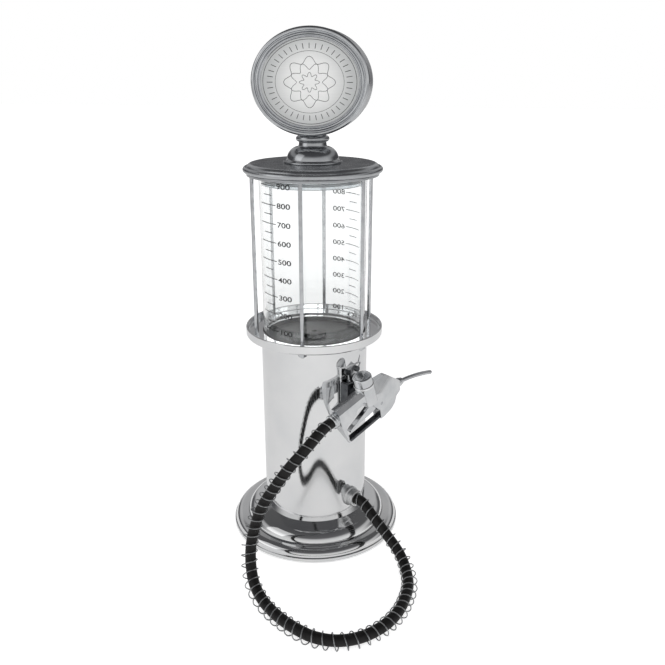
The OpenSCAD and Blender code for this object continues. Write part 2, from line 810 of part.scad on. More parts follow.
module holster_fork() {
    tall = fork_top_z - fork_low_z;
    slot_w = stud_w + 2 * lift_gap;
    color("#6d6f72") difference() {
        side() difference() {
            translate([-fork_w / 2, -fork_front, fork_low_z]) cube([fork_w, fork_front - col_ri + 3, tall]);
            translate([-fork_w / 2 + fork_web, -fork_back, fork_low_z - over])
                cube([fork_w - 2 * fork_web, fork_back, tall + 2 * over]);
            translate([-slot_w / 2, -fork_front - over, stud_low_z + stud_w / 2])
                cube([slot_w, fork_t + 2 * over, tall]);
            translate([0, -fork_back + over, stud_low_z + stud_w / 2]) rotate([90, 0, 0])
                cylinder(d = slot_w, h = fork_t + 2 * over);
        }
        translate([0, 0, fork_low_z - over]) cylinder(r = plate_ro, h = tall + 2 * over);
    }
}
module holster_screws() {
    tail = col_ri - holster_screw_tail;
    color("#5d5f62") holster_screw_sites() {
        translate([0, 0, plate_ro]) cylinder(r = holster_screw_head_r, h = holster_screw_head_h);
        translate([0, 0, tail]) cylinder(r = holster_screw_r, h = plate_ro - tail);
    }
}
module holster_nuts() {
    wall_in = sqrt(pow(col_ri, 2) - pow(holster_nut_af / sqrt(3), 2));
    color("#9a9da1") holster_screw_sites() translate([0, 0, wall_in - holster_nut_t]) difference() {
        hexagon(holster_nut_af, holster_nut_t);
        translate([0, 0, -over]) cylinder(r = holster_screw_r + running, h = holster_nut_t + 2 * over);
    }
}
module hose() {
    stations = [for (i = [0 : route_legs * hose_steps]) i / hose_steps];
    color("#1b1a19") pipe(
        [for (t = stations) hose_pos(t)],
        [for (t = stations) hose_dir(t)],
        hose_r, hose_bore_r, hose_sides
    );
}
// Middle of the guard spring's wire at ring i, where rings run past both straight ends
coil_count = coil_turns * coil_rings;
coil_lead = 2 * coil_wire_d;
coil_run = hose_length - 2 * coil_lead;
function coil_frame(s, w) = let (
    t = t_at(s),
    p = hose_pos(t),
    d = hose_dir(t),
    away = p - loop_centre,
    out = unit(away - (away * d) * d),
    fade = min(1, s / coil_fade, (hose_length - s) / coil_fade),
    n = unit(cross(d, frame_ref)),
    b = cross(d, n)
) p + coil_shift * fade * out + (coil_snug_r + (coil_r - coil_snug_r) * fade) * (cos(w) * n + sin(w) * b);
coil_centres = concat(
    [coil_frame(0, 0)],
    [for (i = [0 : coil_count]) coil_frame(coil_lead + coil_run * i / coil_count, 360 * i / coil_rings)],
    [coil_frame(hose_length, 360 * coil_count / coil_rings)]
);
coil_last = len(coil_centres) - 1;
coil_dirs = [
    for (i = [0 : coil_last])
        i == 0 ? hose_dir(0) :
        i == coil_last ? hose_dir(route_legs) :
        unit(coil_centres[i + 1] - coil_centres[i - 1])
];
coil_gap = min([
    for (i = [0 : coil_last], k = [4 : 2 * coil_rings + 4])
        if (i + k <= coil_last) norm(coil_centres[i + k] - coil_centres[i])
]) - coil_wire_d;
module hose_spring() {
    echo(hose_length = hose_length, coil_gap = coil_gap, coil_shift = coil_shift, coil_snug_r = coil_snug_r);
    color("#a9abad") wire(coil_centres, coil_dirs, coil_wire_d / 2, coil_sides);
}
// Half section of the lid, before it is hollowed
module lid_section() {
    translate([0, lid_z]) square([lid_bead_c, 2 * lid_bead_r]);
    translate([lid_bead_c, lid_z + lid_bead_r]) circle(r = lid_bead_r);
    translate([0, lid_z]) square([lid_roll_c, lid_h]);
    intersection() {
        translate([lid_roll_c, lid_top_z - lid_roll_r]) circle(r = lid_roll_r);
        translate([0, lid_z]) square([lid_r, lid_h]);
    }
}
module lid() {
    color("#6f7174") difference() {
        rotate_extrude() difference() {
            lid_section();
            translate([0, lid_z - over]) square([lid_roll_c - lid_wall, lid_h - lid_wall + over]);
        }
        cylinder(r = bolt_r + loose, h = lid_top_z + over);
    }
}
module lid_plug() {
    low = can_top_z - plug_h;
    groove = seal_r + running;
    color("#dcdedf") difference() {
        union() {
            translate([0, 0, low]) cylinder(r = plug_r, h = plug_flange_z - low);
            translate([0, 0, plug_flange_z]) cylinder(r = plug_flange_r - loose, h = plug_flange_t);
        }
        translate([0, 0, low - over])
            cylinder(r = plug_r - seal_r - plug_wall, h = plug_flange_z - low + over);
        rotate_extrude() translate([seal_c, seal_z]) circle(r = groove);
        cylinder(r = bolt_r + loose, h = lid_top_z);
    }
}
module lid_seal() {
    color("#e4e5e5") rotate_extrude() translate([seal_c, seal_z]) circle(r = seal_r);
}
module neck() {
    dome_h = neck_h - neck_foot_t - neck_rise - neck_bead_h - neck_waist_h + 2;
    color("#7b7d80") difference() {
        translate([0, 0, lid_top_z]) rotate_extrude() {
            square([neck_foot_r, neck_foot_t]);
            square([neck_dome_r, neck_foot_t + neck_rise]);
            translate([0, neck_foot_t + neck_rise]) intersection() {
                square([neck_dome_r, dome_h]);
                translate([neck_dome_r - dome_h, 0]) circle(r = dome_h);
            }
            translate([0, neck_foot_t + neck_rise]) square([neck_dome_r - dome_h, dome_h]);
            square([neck_waist_r, neck_h + over]);
            translate([neck_bead_r - neck_bead_h / 2, neck_h - neck_bead_h / 2]) circle(d = neck_bead_h);
            translate([0, neck_h - neck_bead_h]) square([neck_bead_r - neck_bead_h / 2, neck_bead_h]);
        }
        sign_slab(-neck_foot_r, 2 * neck_foot_r) oval(0);
        cylinder(r = bolt_r + loose, h = sign_z);
    }
}
module neck_bolt() {
    head_z = plug_flange_z - bolt_head_h;
    color("#9a9da1") {
        translate([0, 0, head_z]) hexagon(bolt_head_af, bolt_head_h);
        translate([0, 0, plug_flange_z])
            cylinder(r = bolt_r, h = sign_z - sign_b + bolt_grip - plug_flange_z);
    }
}
module sign_body() {
    color("#8b8d90") difference() {
        sign_slab(-sign_t / 2, sign_t) difference() {
            oval(0);
            oval(sign_body_wall);
        }
        translate([0, 0, sign_z - sign_b - over]) cylinder(r = bolt_r + running, h = bolt_grip + 0.5 + over);
    }
}
// Stepped bezel ring swept round the oval, from its profile of inset and height
module bezel() {
    m = len(bezel_profile);
    points = [
        for (i = [0 : oval_steps - 1], q = bezel_profile)
            let (p = oval_pt(360 * i / oval_steps, q[0])) [p.x, -sign_t / 2 - q[1], sign_z + p.y]
    ];
    faces = [
        for (i = [0 : oval_steps - 1], j = [0 : m - 1], half = [0, 1])
            let (
                i2 = (i + 1) % oval_steps,
                j2 = (j + 1) % m,
                a = i * m + j,
                b = i * m + j2,
                c = i2 * m + j,
                d = i2 * m + j2
            )
            half == 0 ? [a, b, c] : [b, d, c]
    ];
    polyhedron(points, faces);
}
module sign_bezel_front() {
    color("#9c9ea1") bezel();
}
module sign_bezel_back() {
    color("#9c9ea1") rotate([0, 0, 180]) bezel();
}
module dial_front() {
    color("#b9bbb9") sign_slab(-sign_t / 2 - dial_t, dial_t) oval(sign_rim - dial_lap + running);
}
module dial_back() {
    color("#b9bbb9") sign_slab(sign_t / 2, dial_t) oval(sign_rim - dial_lap + running);
}
// The nozzle's head: a side outline, a falling roof and a plan that narrows to the spout
module nozzle_head() {
    face = spout_face * [sin(spout_pitch), cos(spout_pitch)];
    nose_x = spout_x + spout_face;
    wide = head_half_w + over;
    intersection() {
        nozzle_slab(2 * wide) polygon([
            [valve_x - over, grip_low], [valve_x - over, grip_top], [head_back_x, head_roof],
            [head_brow_x, head_roof - head_brow_drop],
            [spout_x, spout_z] + face, [spout_x, spout_z] - face,
            head_jaw, head_chin, head_cheek, [head_heel_x, head_low], [head_back_x, head_low],
            [head_back_x, slot_low]
        ]);
        translate([head_back_x, 0, head_eave]) rotate([0, head_fall, 0]) translate([-head_depth, 0, 0])
            rotate([90, 0, 90]) linear_extrude(3 * head_depth) polygon([
                [-head_foot_half_w, -head_depth], [head_foot_half_w, -head_depth], [head_half_w, 0],
                [head_ridge_half_w, head_rise], [-head_ridge_half_w, head_rise], [-head_half_w, 0]
            ]);
        translate([0, 0, head_low - over]) linear_extrude(head_roof + grip_top - head_low) polygon([
            [valve_x - 2 * over, -wide], [head_heel_x, -wide], [nose_x, -head_nose_half_w],
            [nose_x, head_nose_half_w], [head_heel_x, wide], [valve_x - 2 * over, wide]
        ]);
    }
}
// The horn behind the trigger, which narrows from the grip's width to its tip
module nozzle_horn() {
    top = grip_low + grip_edge;
    intersection() {
        nozzle_slab(2 * grip_half_w) polygon([
            [hose_nut_len, top], [hose_nut_len, grip_low], [horn_tip_x - horn_tip_w, horn_low],
            [horn_tip_x, horn_low], horn_waist, horn_root, [horn_front_x, grip_low], [horn_front_x, top]
        ]);
        rotate([90, 0, 90]) linear_extrude(valve_x) polygon([
            [-grip_half_w, top], [grip_half_w, top], [horn_tip_half_w, horn_low], [-horn_tip_half_w, horn_low]
        ]);
    }
}
// The nozzle's outside, before its bores are cut
module nozzle_blank() {
    translate([hose_nut_len, 0, 0]) rotate([90, 0, 90]) linear_extrude(valve_x - hose_nut_len) polygon([
        [-grip_half_w, grip_low + grip_edge], [-grip_half_w + grip_edge, grip_low],
        [grip_half_w - grip_edge, grip_low], [grip_half_w, grip_low + grip_edge],
        [grip_half_w, grip_crease], [grip_ridge_half_w, grip_top],
        [-grip_ridge_half_w, grip_top], [-grip_half_w, grip_crease]
    ]);
    nozzle_horn();
    nozzle_head();
    translate([valve_x, 0, boss_low]) cylinder(r = boss_r, h = boss_top - boss_low);
}
module nozzle_body() {
    flow_from = [valve_x + 4, 0, seat_ring_low + 2.5];
    flow_fall = atan2(flow_from.z - spout_z, spout_x - flow_from.x);
    color("#cfd1d3") nozzle_frame() difference() {
        nozzle_blank();
        translate([-over, 0, 0]) rotate([0, 90, 0]) cylinder(r = flow_r, h = valve_x + over);
        translate([valve_x, 0, chamber_low]) cylinder(r = chamber_r, h = boss_top - chamber_low + over);
        translate([valve_x, 0, chamber_low - packing_t]) cylinder(r = packing_r, h = packing_t + over);
        translate([valve_x, 0, slot_top - over])
            cylinder(r = stem_r + running, h = chamber_low - slot_top + over);
        translate(flow_from) rotate([0, 90 + flow_fall, 0])
            cylinder(r = spout_bore_r, h = norm([spout_x - flow_from.x, flow_from.z - spout_z]) + over);
        nozzle_slab(trigger_w + 2 * lift_gap) polygon([
            [slot_back_x, slot_top], [slot_front_x, slot_top], [slot_front_x, pivot_z - hub_r - 1],
            [pivot_x, slot_low], [head_back_x - over, slot_low - over], [slot_back_x, slot_low - over]
        ]);
        translate([pivot_x, head_half_w + over, pivot_z]) rotate([90, 0, 0])
            cylinder(r = pin_r + running, h = 2 * head_half_w + 2 * over);
        for (y = [-1, 1]) translate([valve_x, y * (arch_floor_half_w + boss_r / 2), 0])
            nozzle_slab(boss_r) polygon(arch);
        translate([valve_x, 0, 0]) nozzle_slab(2 * boss_r + over) polygon(notch);
    }
}
module hose_nut() {
    color("#d0d2d5") nozzle_frame() rotate([0, 90, 0]) difference() {
        union() {
            cylinder(r = hose_nut_r - hose_nut_edge, h = hose_nut_len);
            translate([0, 0, hose_nut_edge])
                cylinder(r = hose_nut_r, h = hose_nut_len - 3 * hose_nut_edge);
        }
        translate([0, 0, -over]) cylinder(r = flow_r, h = hose_nut_len + 2 * over);
    }
}
module trigger_guard() {
    lean = (horn_tip_x - horn_waist.x) / (horn_low - horn_waist.y);
    low_x = horn_waist.x + lean * (head_low - horn_waist.y);
    color("#6d6f72") nozzle_frame() nozzle_slab(guard_w) polygon([
        [low_x, head_low], [head_back_x, head_low],
        [head_back_x, head_low + guard_t], [low_x + lean * guard_t, head_low + guard_t]
    ]);
}
module valve_cap() {
    low = boss_top + cap_ring_t;
    color("#8f9194") nozzle_frame() translate([valve_x, 0, 0]) difference() {
        union() {
            translate([0, 0, low]) cylinder(r = cap_r, h = cap_h - 1);
            translate([0, 0, low]) cylinder(r = cap_r - 1, h = cap_h);
            translate([0, 0, boss_top - 1]) cylinder(r = chamber_r - running, h = cap_ring_t + 1 + over);
        }
        translate([0, 0, boss_top - 1 - over]) cylinder(r = cap_cavity_r, h = cap_cavity_top + 1 + over);
    }
}
module cap_ring() {
    color("#d9dbde") nozzle_frame() translate([valve_x, 0, boss_top])
        tube(cap_ring_r, chamber_r + running, cap_ring_t);
}
module valve_seat() {
    color("#c9b27a") nozzle_frame() translate([valve_x, 0, seat_ring_low])
        tube(chamber_r - running, seat_bore_r, seat_ring_t);
}
module stem_packing() {
    color("#2b2b2b") nozzle_frame() translate([valve_x, 0, chamber_low - packing_t])
        tube(packing_r - running, stem_r + running, packing_t);
}
module valve_spring() {
    low = seat_ring_low + seat_ring_t + disc_t + valve_spring_wire_d / 2;
    high = boss_top + cap_cavity_top - valve_spring_wire_d / 2;
    count = valve_spring_turns * coil_rings;
    centres = [
        for (i = [0 : count])
            let (w = 360 * i / coil_rings)
            [
                valve_x + valve_spring_r * cos(w),
                valve_spring_r * sin(w),
                low + loose + (high - low - loose) * i / count
            ]
    ];
    dirs = [for (i = [0 : count]) unit(centres[min(count, i + 1)] - centres[max(0, i - 1)])];
    color("#a9abad") nozzle_frame() wire(centres, dirs, valve_spring_wire_d / 2, coil_sides);
}
module spout_nut() {
    color("#8f9194") spout_frame() rotate([0, 90, 0]) difference() {
        union() {
            cylinder(r = spout_nut_r, h = spout_nut_len - 3);
            cylinder(r = spout_nut_r - 0.9, h = spout_nut_len);
        }
        translate([0, 0, -over]) cylinder(r = spout_r + 2 * loose, h = spout_nut_len + 2 * over);
    }
}
module spout() {
    turn = spout_len / spout_bend_r * 180 / PI;
    color("#85878a") spout_frame() rotate([90, 0, 0]) translate([0, -spout_bend_r, 0]) rotate([0, 0, 90 - turn])
        rotate_extrude(angle = turn, $fn = 360) translate([spout_bend_r, 0]) difference() {
            circle(r = spout_r, $fn = 32);
            circle(r = spout_bore_r, $fn = 32);
        }
}
module trigger_pin() {
    color("#85878a") nozzle_frame() translate([pivot_x, pin_half_len, pivot_z]) rotate([90, 0, 0])
        cylinder(r = pin_r, h = 2 * pin_half_len);
}
module holster_stud() {
    round_r = stud_w / 2;
    reach = stud_h / 2 - round_r;
    neck_back = fork_back - stud_head_gap;
    color("#8f9194") difference() {
        side() translate([0, 0, hook_z]) rotate([90, 0, 0]) {
            translate([0, 0, fork_front + lift_gap]) cylinder(r = stud_w, h = boss_r);
            translate([0, 0, neck_back - stud_head_t]) linear_extrude(nozzle_d - neck_back) {
                for (y = [-reach, reach]) translate([0, y]) circle(r = round_r);
                square([stud_w, 2 * reach], center = true);
            }
            translate([0, 0, neck_back - stud_head_t]) cylinder(d = stud_head_w, h = stud_head_t);
        }
        nozzle_frame() nozzle_blank();
        side() translate([-stud_head_w, -nozzle_d - boss_r, hook_z - stud_head_w])
            cube([2 * stud_head_w, boss_r + 2, 2 * stud_head_w]);
    }
}
module trigger() {
    color("#b4b6b9") nozzle_frame() difference() {
        nozzle_slab(trigger_w) {
            translate([pivot_x, pivot_z]) circle(r = hub_r);
            polygon(concat(
                [
                    [pivot_x, pivot_z + hub_r], [valve_x - stem_r, trigger_top],
                    [trigger_knee_x, trigger_top - trigger_knee_drop],
                    trigger_tip + [trigger_t / 2, trigger_t / 2], trigger_tip,
                    trigger_tip + [trigger_t / 4, -trigger_t / 2]
                ],
                [for (p = trigger_belly) p + [valve_x, 0]],
                [[pivot_x, pivot_z - hub_r]]
            ));
        }
        translate([pivot_x, trigger_w, pivot_z]) rotate([90, 0, 0])
            cylinder(r = pin_r + running, h = 2 * trigger_w);
    }
}
module valve_stem() {
    low = trigger_top + lift_gap;
    disc_low = seat_ring_low + seat_ring_t + running;
    color("#c9b27a") nozzle_frame() translate([valve_x, 0, 0]) {
        translate([0, 0, low]) cylinder(r = stem_r, h = disc_low - low);
        translate([0, 0, disc_low]) cylinder(r = disc_r, h = disc_t);
        translate([0, 0, disc_low + disc_t]) cylinder(r = stem_r, h = 2 * stem_r);
    }
}

foot_pad();
base_plate();
base_plate_screws();
base_posts();
base_shell();
column_flange();
flange_screws();
column();
seat_ring();
canister_seat();
canister();
gallery_ring();
cage_rods();
rod_nuts();
cage_top_ring();
drain_fitting();
drain_seal();
drain_nut();
feed_tube();
outlet_nipple();
outlet_nut();
outlet_saddle();
outlet_collar();
holster_plate();
holster_fork();
holster_screws();
holster_nuts();
hose();
hose_spring();
lid();
lid_plug();
lid_seal();
neck();
neck_bolt();
sign_body();
sign_bezel_front();
sign_bezel_back();
dial_front();
dial_back();
nozzle_body();
hose_nut();
trigger_guard();
valve_cap();
cap_ring();
valve_seat();
stem_packing();
valve_spring();
spout_nut();
spout();
trigger_pin();
holster_stud();
trigger();
valve_stem();
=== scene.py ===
# %% [markdown]
# # A pump-shaped drink dispenser
# The object is a table-top dispenser in the shape of an old filling-station pump.
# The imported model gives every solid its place. This lesson dresses those solids:
# round pieces are turned again on finer grids so that polished metal reflects
# cleanly, and the hose, the printed scale and the sign get their own surfaces.

# %% Load the frame
import json
import math

import bmesh
import bpy
import numpy as np
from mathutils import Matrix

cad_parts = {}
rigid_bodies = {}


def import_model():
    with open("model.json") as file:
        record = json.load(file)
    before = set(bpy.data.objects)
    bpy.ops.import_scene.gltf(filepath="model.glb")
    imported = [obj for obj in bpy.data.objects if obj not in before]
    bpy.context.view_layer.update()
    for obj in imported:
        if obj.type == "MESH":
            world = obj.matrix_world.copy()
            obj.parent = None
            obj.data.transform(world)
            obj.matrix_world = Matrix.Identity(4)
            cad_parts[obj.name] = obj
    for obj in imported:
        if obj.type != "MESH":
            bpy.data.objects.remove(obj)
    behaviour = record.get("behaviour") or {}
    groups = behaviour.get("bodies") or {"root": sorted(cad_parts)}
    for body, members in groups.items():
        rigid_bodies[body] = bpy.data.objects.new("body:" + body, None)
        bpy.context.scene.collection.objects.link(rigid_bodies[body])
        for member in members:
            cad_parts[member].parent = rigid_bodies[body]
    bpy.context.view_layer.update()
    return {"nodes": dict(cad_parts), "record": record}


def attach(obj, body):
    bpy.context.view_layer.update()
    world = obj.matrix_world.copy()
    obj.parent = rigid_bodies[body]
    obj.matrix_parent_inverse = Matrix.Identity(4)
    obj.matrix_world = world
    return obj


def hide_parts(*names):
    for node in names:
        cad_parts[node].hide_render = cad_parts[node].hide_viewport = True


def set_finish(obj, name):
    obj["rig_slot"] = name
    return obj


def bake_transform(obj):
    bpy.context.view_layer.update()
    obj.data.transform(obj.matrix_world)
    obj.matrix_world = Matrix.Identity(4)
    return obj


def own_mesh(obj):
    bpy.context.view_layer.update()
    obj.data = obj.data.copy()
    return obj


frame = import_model()
nodes = frame["nodes"]
MM = 0.001
print("solids in the frame:", len(nodes))

# %% [markdown]
# ## Camera
# The camera stands in front, a little to the right and above the sign's foot, and
# looks down by about 20 degrees. Its focal length and place were worked out from
# the ellipses of the base, the gallery and the lid, so no shift is needed.

# %% Camera
CAMERA_AZIMUTH = 11.0
camera_data = bpy.data.cameras.new("studio_camera")
camera_data.sensor_width = 36.0
camera_data.lens = 40.436
camera = bpy.data.objects.new("studio_camera", camera_data)
camera.location = (0.12495, -0.64280, 0.42954)
camera.rotation_euler = (math.radians(70.452), 0.0, math.radians(9.522))
bpy.context.scene.collection.objects.link(camera)
bpy.context.scene.camera = camera
bpy.context.scene.view_settings.view_transform = "Standard"
print("camera lens in mm:", camera_data.lens)

# %% [markdown]
# ## Grids become meshes
# Nearly every piece below is a grid of points: rows run along a profile or a path,
# and columns run round it. One function turns such a grid into a mesh. A closed
# surface is checked by its signed volume, so that its faces look outwards.


# %% From a grid to a mesh
def surface(name, points, loop_rows=False, loop_cols=True):
    """Quads between neighbouring points of a grid of shape (rows, columns, 3), or of a stack of
    such grids. A looped way joins its last line to its first. The sum of the tetrahedra from the
    origin to every face is the volume, and where it is negative the faces are turned round."""
    stack = points.reshape((-1,) + points.shape[-3:])
    count, rows, cols = stack.shape[:3]
    index = np.arange(count * rows * cols).reshape(count, rows, cols)
    if loop_rows:
        index = np.concatenate([index, index[:, :1]], axis=1)
    if loop_cols:
        index = np.concatenate([index, index[:, :, :1]], axis=2)
    quads = np.stack([index[:, :-1, :-1], index[:, :-1, 1:], index[:, 1:, 1:], index[:, 1:, :-1]], -1)
    quads = quads.reshape(-1, 4)
    flat = stack.reshape(-1, 3)
    a, b, c, d = (flat[quads[:, k]] for k in range(4))
    volume = np.sum(a * np.cross(b, c)) + np.sum(a * np.cross(c, d))
    if volume < 0:
        quads = quads[:, ::-1]
    mesh = bpy.data.meshes.new(name)
    mesh.from_pydata(flat.tolist(), [], quads.tolist())
    return mesh


def finish_mesh(mesh, sharp=35.0):
    """Points that fall together, as at a pole, become one, and edges sharper than the angle stay sharp."""
    work = bmesh.new()
    work.from_mesh(mesh)
    bmesh.ops.remove_doubles(work, verts=work.verts, dist=1e-7)
    bmesh.ops.dissolve_degenerate(work, edges=work.edges, dist=1e-8)
    work.to_mesh(mesh)
    work.free()
    mesh.polygons.foreach_set("use_smooth", np.ones(len(mesh.polygons), bool))
    mesh.set_sharp_from_angle(angle=math.radians(sharp))
    mesh.update()


def piece(name, mesh, body, slot, stands_for=()):
    """A named object at the origin that rides on a body and stands for the solids it replaces."""
    obj = bpy.data.objects.new(name, mesh)
    bpy.context.scene.collection.objects.link(obj)
    if body:
        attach(obj, body)
    if stands_for:
        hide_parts(*stands_for)
    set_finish(obj, slot)
    return obj


def grid_piece(name, points, body, slot, stands_for=(), loop_rows=False, sharp=35.0):
    """A grid of points made a mesh, finished, and named as a piece."""
    mesh = surface(name, points, loop_rows)
    finish_mesh(mesh, sharp)
    return piece(name, mesh, body, slot, stands_for)


# %% [markdown]
# Turned pieces are half sections carried round an axis. Their corners are eased
# with small curves, because a real edge always catches a thin line of light.


# %% Turned pieces
def eased(corners, radii, steps=6):
    """A closed outline with each corner replaced by a quadratic curve: it leaves one side at the
    given distance before the corner and meets the next side at the same distance after it."""
    corner = np.asarray(corners, float)
    before, after = np.roll(corner, 1, 0) - corner, np.roll(corner, -1, 0) - corner
    reach_before, reach_after = np.linalg.norm(before, axis=1), np.linalg.norm(after, axis=1)
    most = 0.45 * np.minimum(reach_before, reach_after)
    cut = np.minimum(np.broadcast_to(radii, most.shape), most)
    first = corner + before * (cut / reach_before)[:, None]
    last = corner + after * (cut / reach_after)[:, None]
    t = np.linspace(0, 1, steps)[None, :, None]
    curve = (1 - t) ** 2 * first[:, None] + 2 * t * (1 - t) * corner[:, None] + t ** 2 * last[:, None]
    return curve.reshape(-1, 2)


def arc(centre, radius, start, end, steps=16):
    """Points of a circle's arc between two angles in degrees."""
    turn = np.radians(np.linspace(start, end, steps))
    return np.stack([centre[0] + radius * np.cos(turn), centre[1] + radius * np.sin(turn)], -1)


def full_turn(steps):
    """Even angles round a whole circle, without the last, which is the first again."""
    return np.linspace(0, 2 * np.pi, steps, endpoint=False)


HOLD_AT, HOLD_OVER = 0.2, 1.5


def held(profile, poles=True):
    """The closed profile with two more points on each side longer than 1.5 mm, at 0.2 mm from its
    ends. They keep a straight side's shading straight up to its rounded corners. With poles, a side
    that lies on the axis is left as it is."""
    start = np.asarray(profile, float)
    step = np.roll(start, -1, 0) - start
    length = np.linalg.norm(step, axis=1)
    near = step * (HOLD_AT / np.maximum(length, HOLD_AT))[:, None]
    long = length > HOLD_OVER
    if poles:
        long &= (start[:, 0] > 0) | (start[:, 0] + step[:, 0] > 0)
    rows = np.stack([start, start + near, start + step - near], 1)
    return rows[np.stack([np.ones(len(start), bool), long, long], 1)]


WORLD_AXES = np.eye(3)


def turned(profile, origin=(0, 0, 0), axes=WORLD_AXES, segments=192):
    """A half section of radius and height, in mm, carried round the third axis of a frame: each
    point is the origin plus radius times a turning direction plus height times the axis."""
    turn = full_turn(segments)
    radius, height = held(profile).T
    local = np.stack([
        radius[:, None] * np.cos(turn),
        radius[:, None] * np.sin(turn),
        np.broadcast_to(height[:, None], (len(radius), segments)),
    ], -1)
    return (np.asarray(origin, float) + local @ np.asarray(axes, float)) * MM


def turned_piece(name, profile, body, slot, stands_for=(), sharp=35.0, **where):
    """A closed half section turned into a ring or a solid of revolution, as a piece."""
    return grid_piece(name, turned(profile, **where), body, slot, stands_for, True, sharp)


# %% [markdown]
# ## Hose
# A black rubber hose leaves the collar at the column's foot, falls to the table,
# runs round in front in one loose loop and climbs to the nozzle. A guard spring is
# wound round it from end to end. The route repeats the points of the solid model,
# with the same smooth curve through them, so the drawn hose lies where the solid is.

# %% Hose route
PUMP_AZIMUTH = math.radians(53.0)
OUTWARD = np.array([math.sin(PUMP_AZIMUTH), -math.cos(PUMP_AZIMUTH), 0.0])
ALONG = np.array([math.cos(PUMP_AZIMUTH), math.sin(PUMP_AZIMUTH), 0.0])
NOZZLE_TILT = math.radians(17.0)
GRIP_X = math.cos(NOZZLE_TILT) * ALONG + math.sin(NOZZLE_TILT) * np.array([0, 0, 1.0])
GRIP_Y = -OUTWARD
GRIP_Z = np.cross(GRIP_X, GRIP_Y)
HOOK = 68.0 * OUTWARD + np.array([0, 0, 156.0])
HOSE_START = 58.0 * OUTWARD + np.array([0, 0, 45.0])
HOSE_END = HOOK - 45.0 * GRIP_X
ROUTE = np.vstack([
    [HOSE_START, HOSE_START + 8.0 * OUTWARD],
    [
        (66, -52, 36), (79, -61, 25), (91, -73, 16), (98, -88, 10), (101, -105, 8), (99, -124, 8),
        (94, -142, 8), (84, -159, 8), (69, -173, 8), (51, -180, 8), (32, -179, 8), (14, -171, 8),
        (-2, -160, 8), (-16, -148, 10), (-27, -135, 15), (-33, -124, 25), (-35, -115, 40),
        (-32, -110, 57), (-26, -108, 75), (-15, -107, 94), (-3, -105, 112), (10, -98, 127),
    ],
    [HOSE_END - 10.0 * GRIP_X, HOSE_END],
])


def through(points, per_leg):
    """A Catmull-Rom curve: on each leg a cubic whose end slopes are half the step between the
    neighbours of its two points. Beyond the ends the points are mirrored."""
    padded = np.vstack([2 * points[0] - points[1], points, 2 * points[-1] - points[-2]])
    a, b, c, d = padded[:-3], padded[1:-2], padded[2:-1], padded[3:]
    t = np.linspace(0, 1, per_leg, endpoint=False)[None, :, None]
    a, b, c, d = a[:, None], b[:, None], c[:, None], d[:, None]
    curve = b + t / 2 * ((c - a) + t * ((2 * a - 5 * b + 4 * c - d) + t * (3 * b - a - 3 * c + d)))
    return np.vstack([curve.reshape(-1, 3), points[-1:]])


def at_lengths(wanted, run, line):
    """The line's points at the wanted running lengths: each coordinate is interpolated."""
    return np.stack([np.interp(wanted, run, line[:, k]) for k in range(3)], -1)


def evenly(path, count):
    """The same path with points at equal steps of its running length, and that length."""
    run = np.concatenate([[0], np.cumsum(np.linalg.norm(np.diff(path, axis=0), axis=1))])
    return at_lengths(np.linspace(0, run[-1], count), run, path), run[-1]


hose_line, hose_length = evenly(through(ROUTE, 40), 461)
print("hose length in mm:", round(hose_length, 2))

# %% [markdown]
# A tube needs a frame of two cross directions at each point. A fixed direction that
# the hose never runs along gives them by two cross products, without any twist.

# %% Hose
STEADY = np.array([0.5, 0.5, -0.7])


def unit(rows):
    """Each row divided by its own length."""
    return rows / np.linalg.norm(rows, axis=1, keepdims=True)


def square_to(tangent, way):
    """Each way less its share along the tangent, as a unit."""
    return unit(way - np.sum(way * tangent, 1, keepdims=True) * tangent)


def cross_frame(path):
    """Unit tangent by central differences, then two unit directions square to it."""
    tangent = unit(np.gradient(path, axis=0))
    side = unit(np.cross(tangent, STEADY))
    return tangent, side, np.cross(tangent, side)


def ringed(path, side, up, radius, sides):
    """Circles of a radius round each point of a path: the point plus the radius times cosine of side
    plus sine of up. Each end is drawn in to a point."""
    turn = full_turn(sides)
    ring = np.cos(turn)[None, :, None] * side[:, None] + np.sin(turn)[None, :, None] * up[:, None]
    tube = path[:, None] + radius * ring
    ends = [np.broadcast_to(path[k], tube[:1].shape) for k in (0, -1)]
    return np.concatenate([ends[0], tube, ends[1]]) * MM


def swept(path, radius, sides):
    """A tube along a path, on the steady cross directions."""
    tangent, side, up = cross_frame(path)
    return ringed(path, side, up, radius, sides)


HOSE_R = 4.7
hose = grid_piece("rubber_hose", swept(hose_line, HOSE_R, 32), None, "black_rubber", ["hose"])

# %% [markdown]
# The guard spring is a long loose coil of wire. It grips the hose at both ends and
# stands off it in between, where its own weight pulls it outwards on the loop.

# %% Guard spring
COIL_R, COIL_SNUG_R, COIL_WIRE_R, COIL_TURNS, COIL_STEPS = 6.8, 5.625, 0.5, 58, 28
COIL_LEAD, COIL_SAG, COIL_FADE = 2.0, 1.167, 110.0
LOOP_CENTRE = np.array([34.0, -105.0, 8.0])


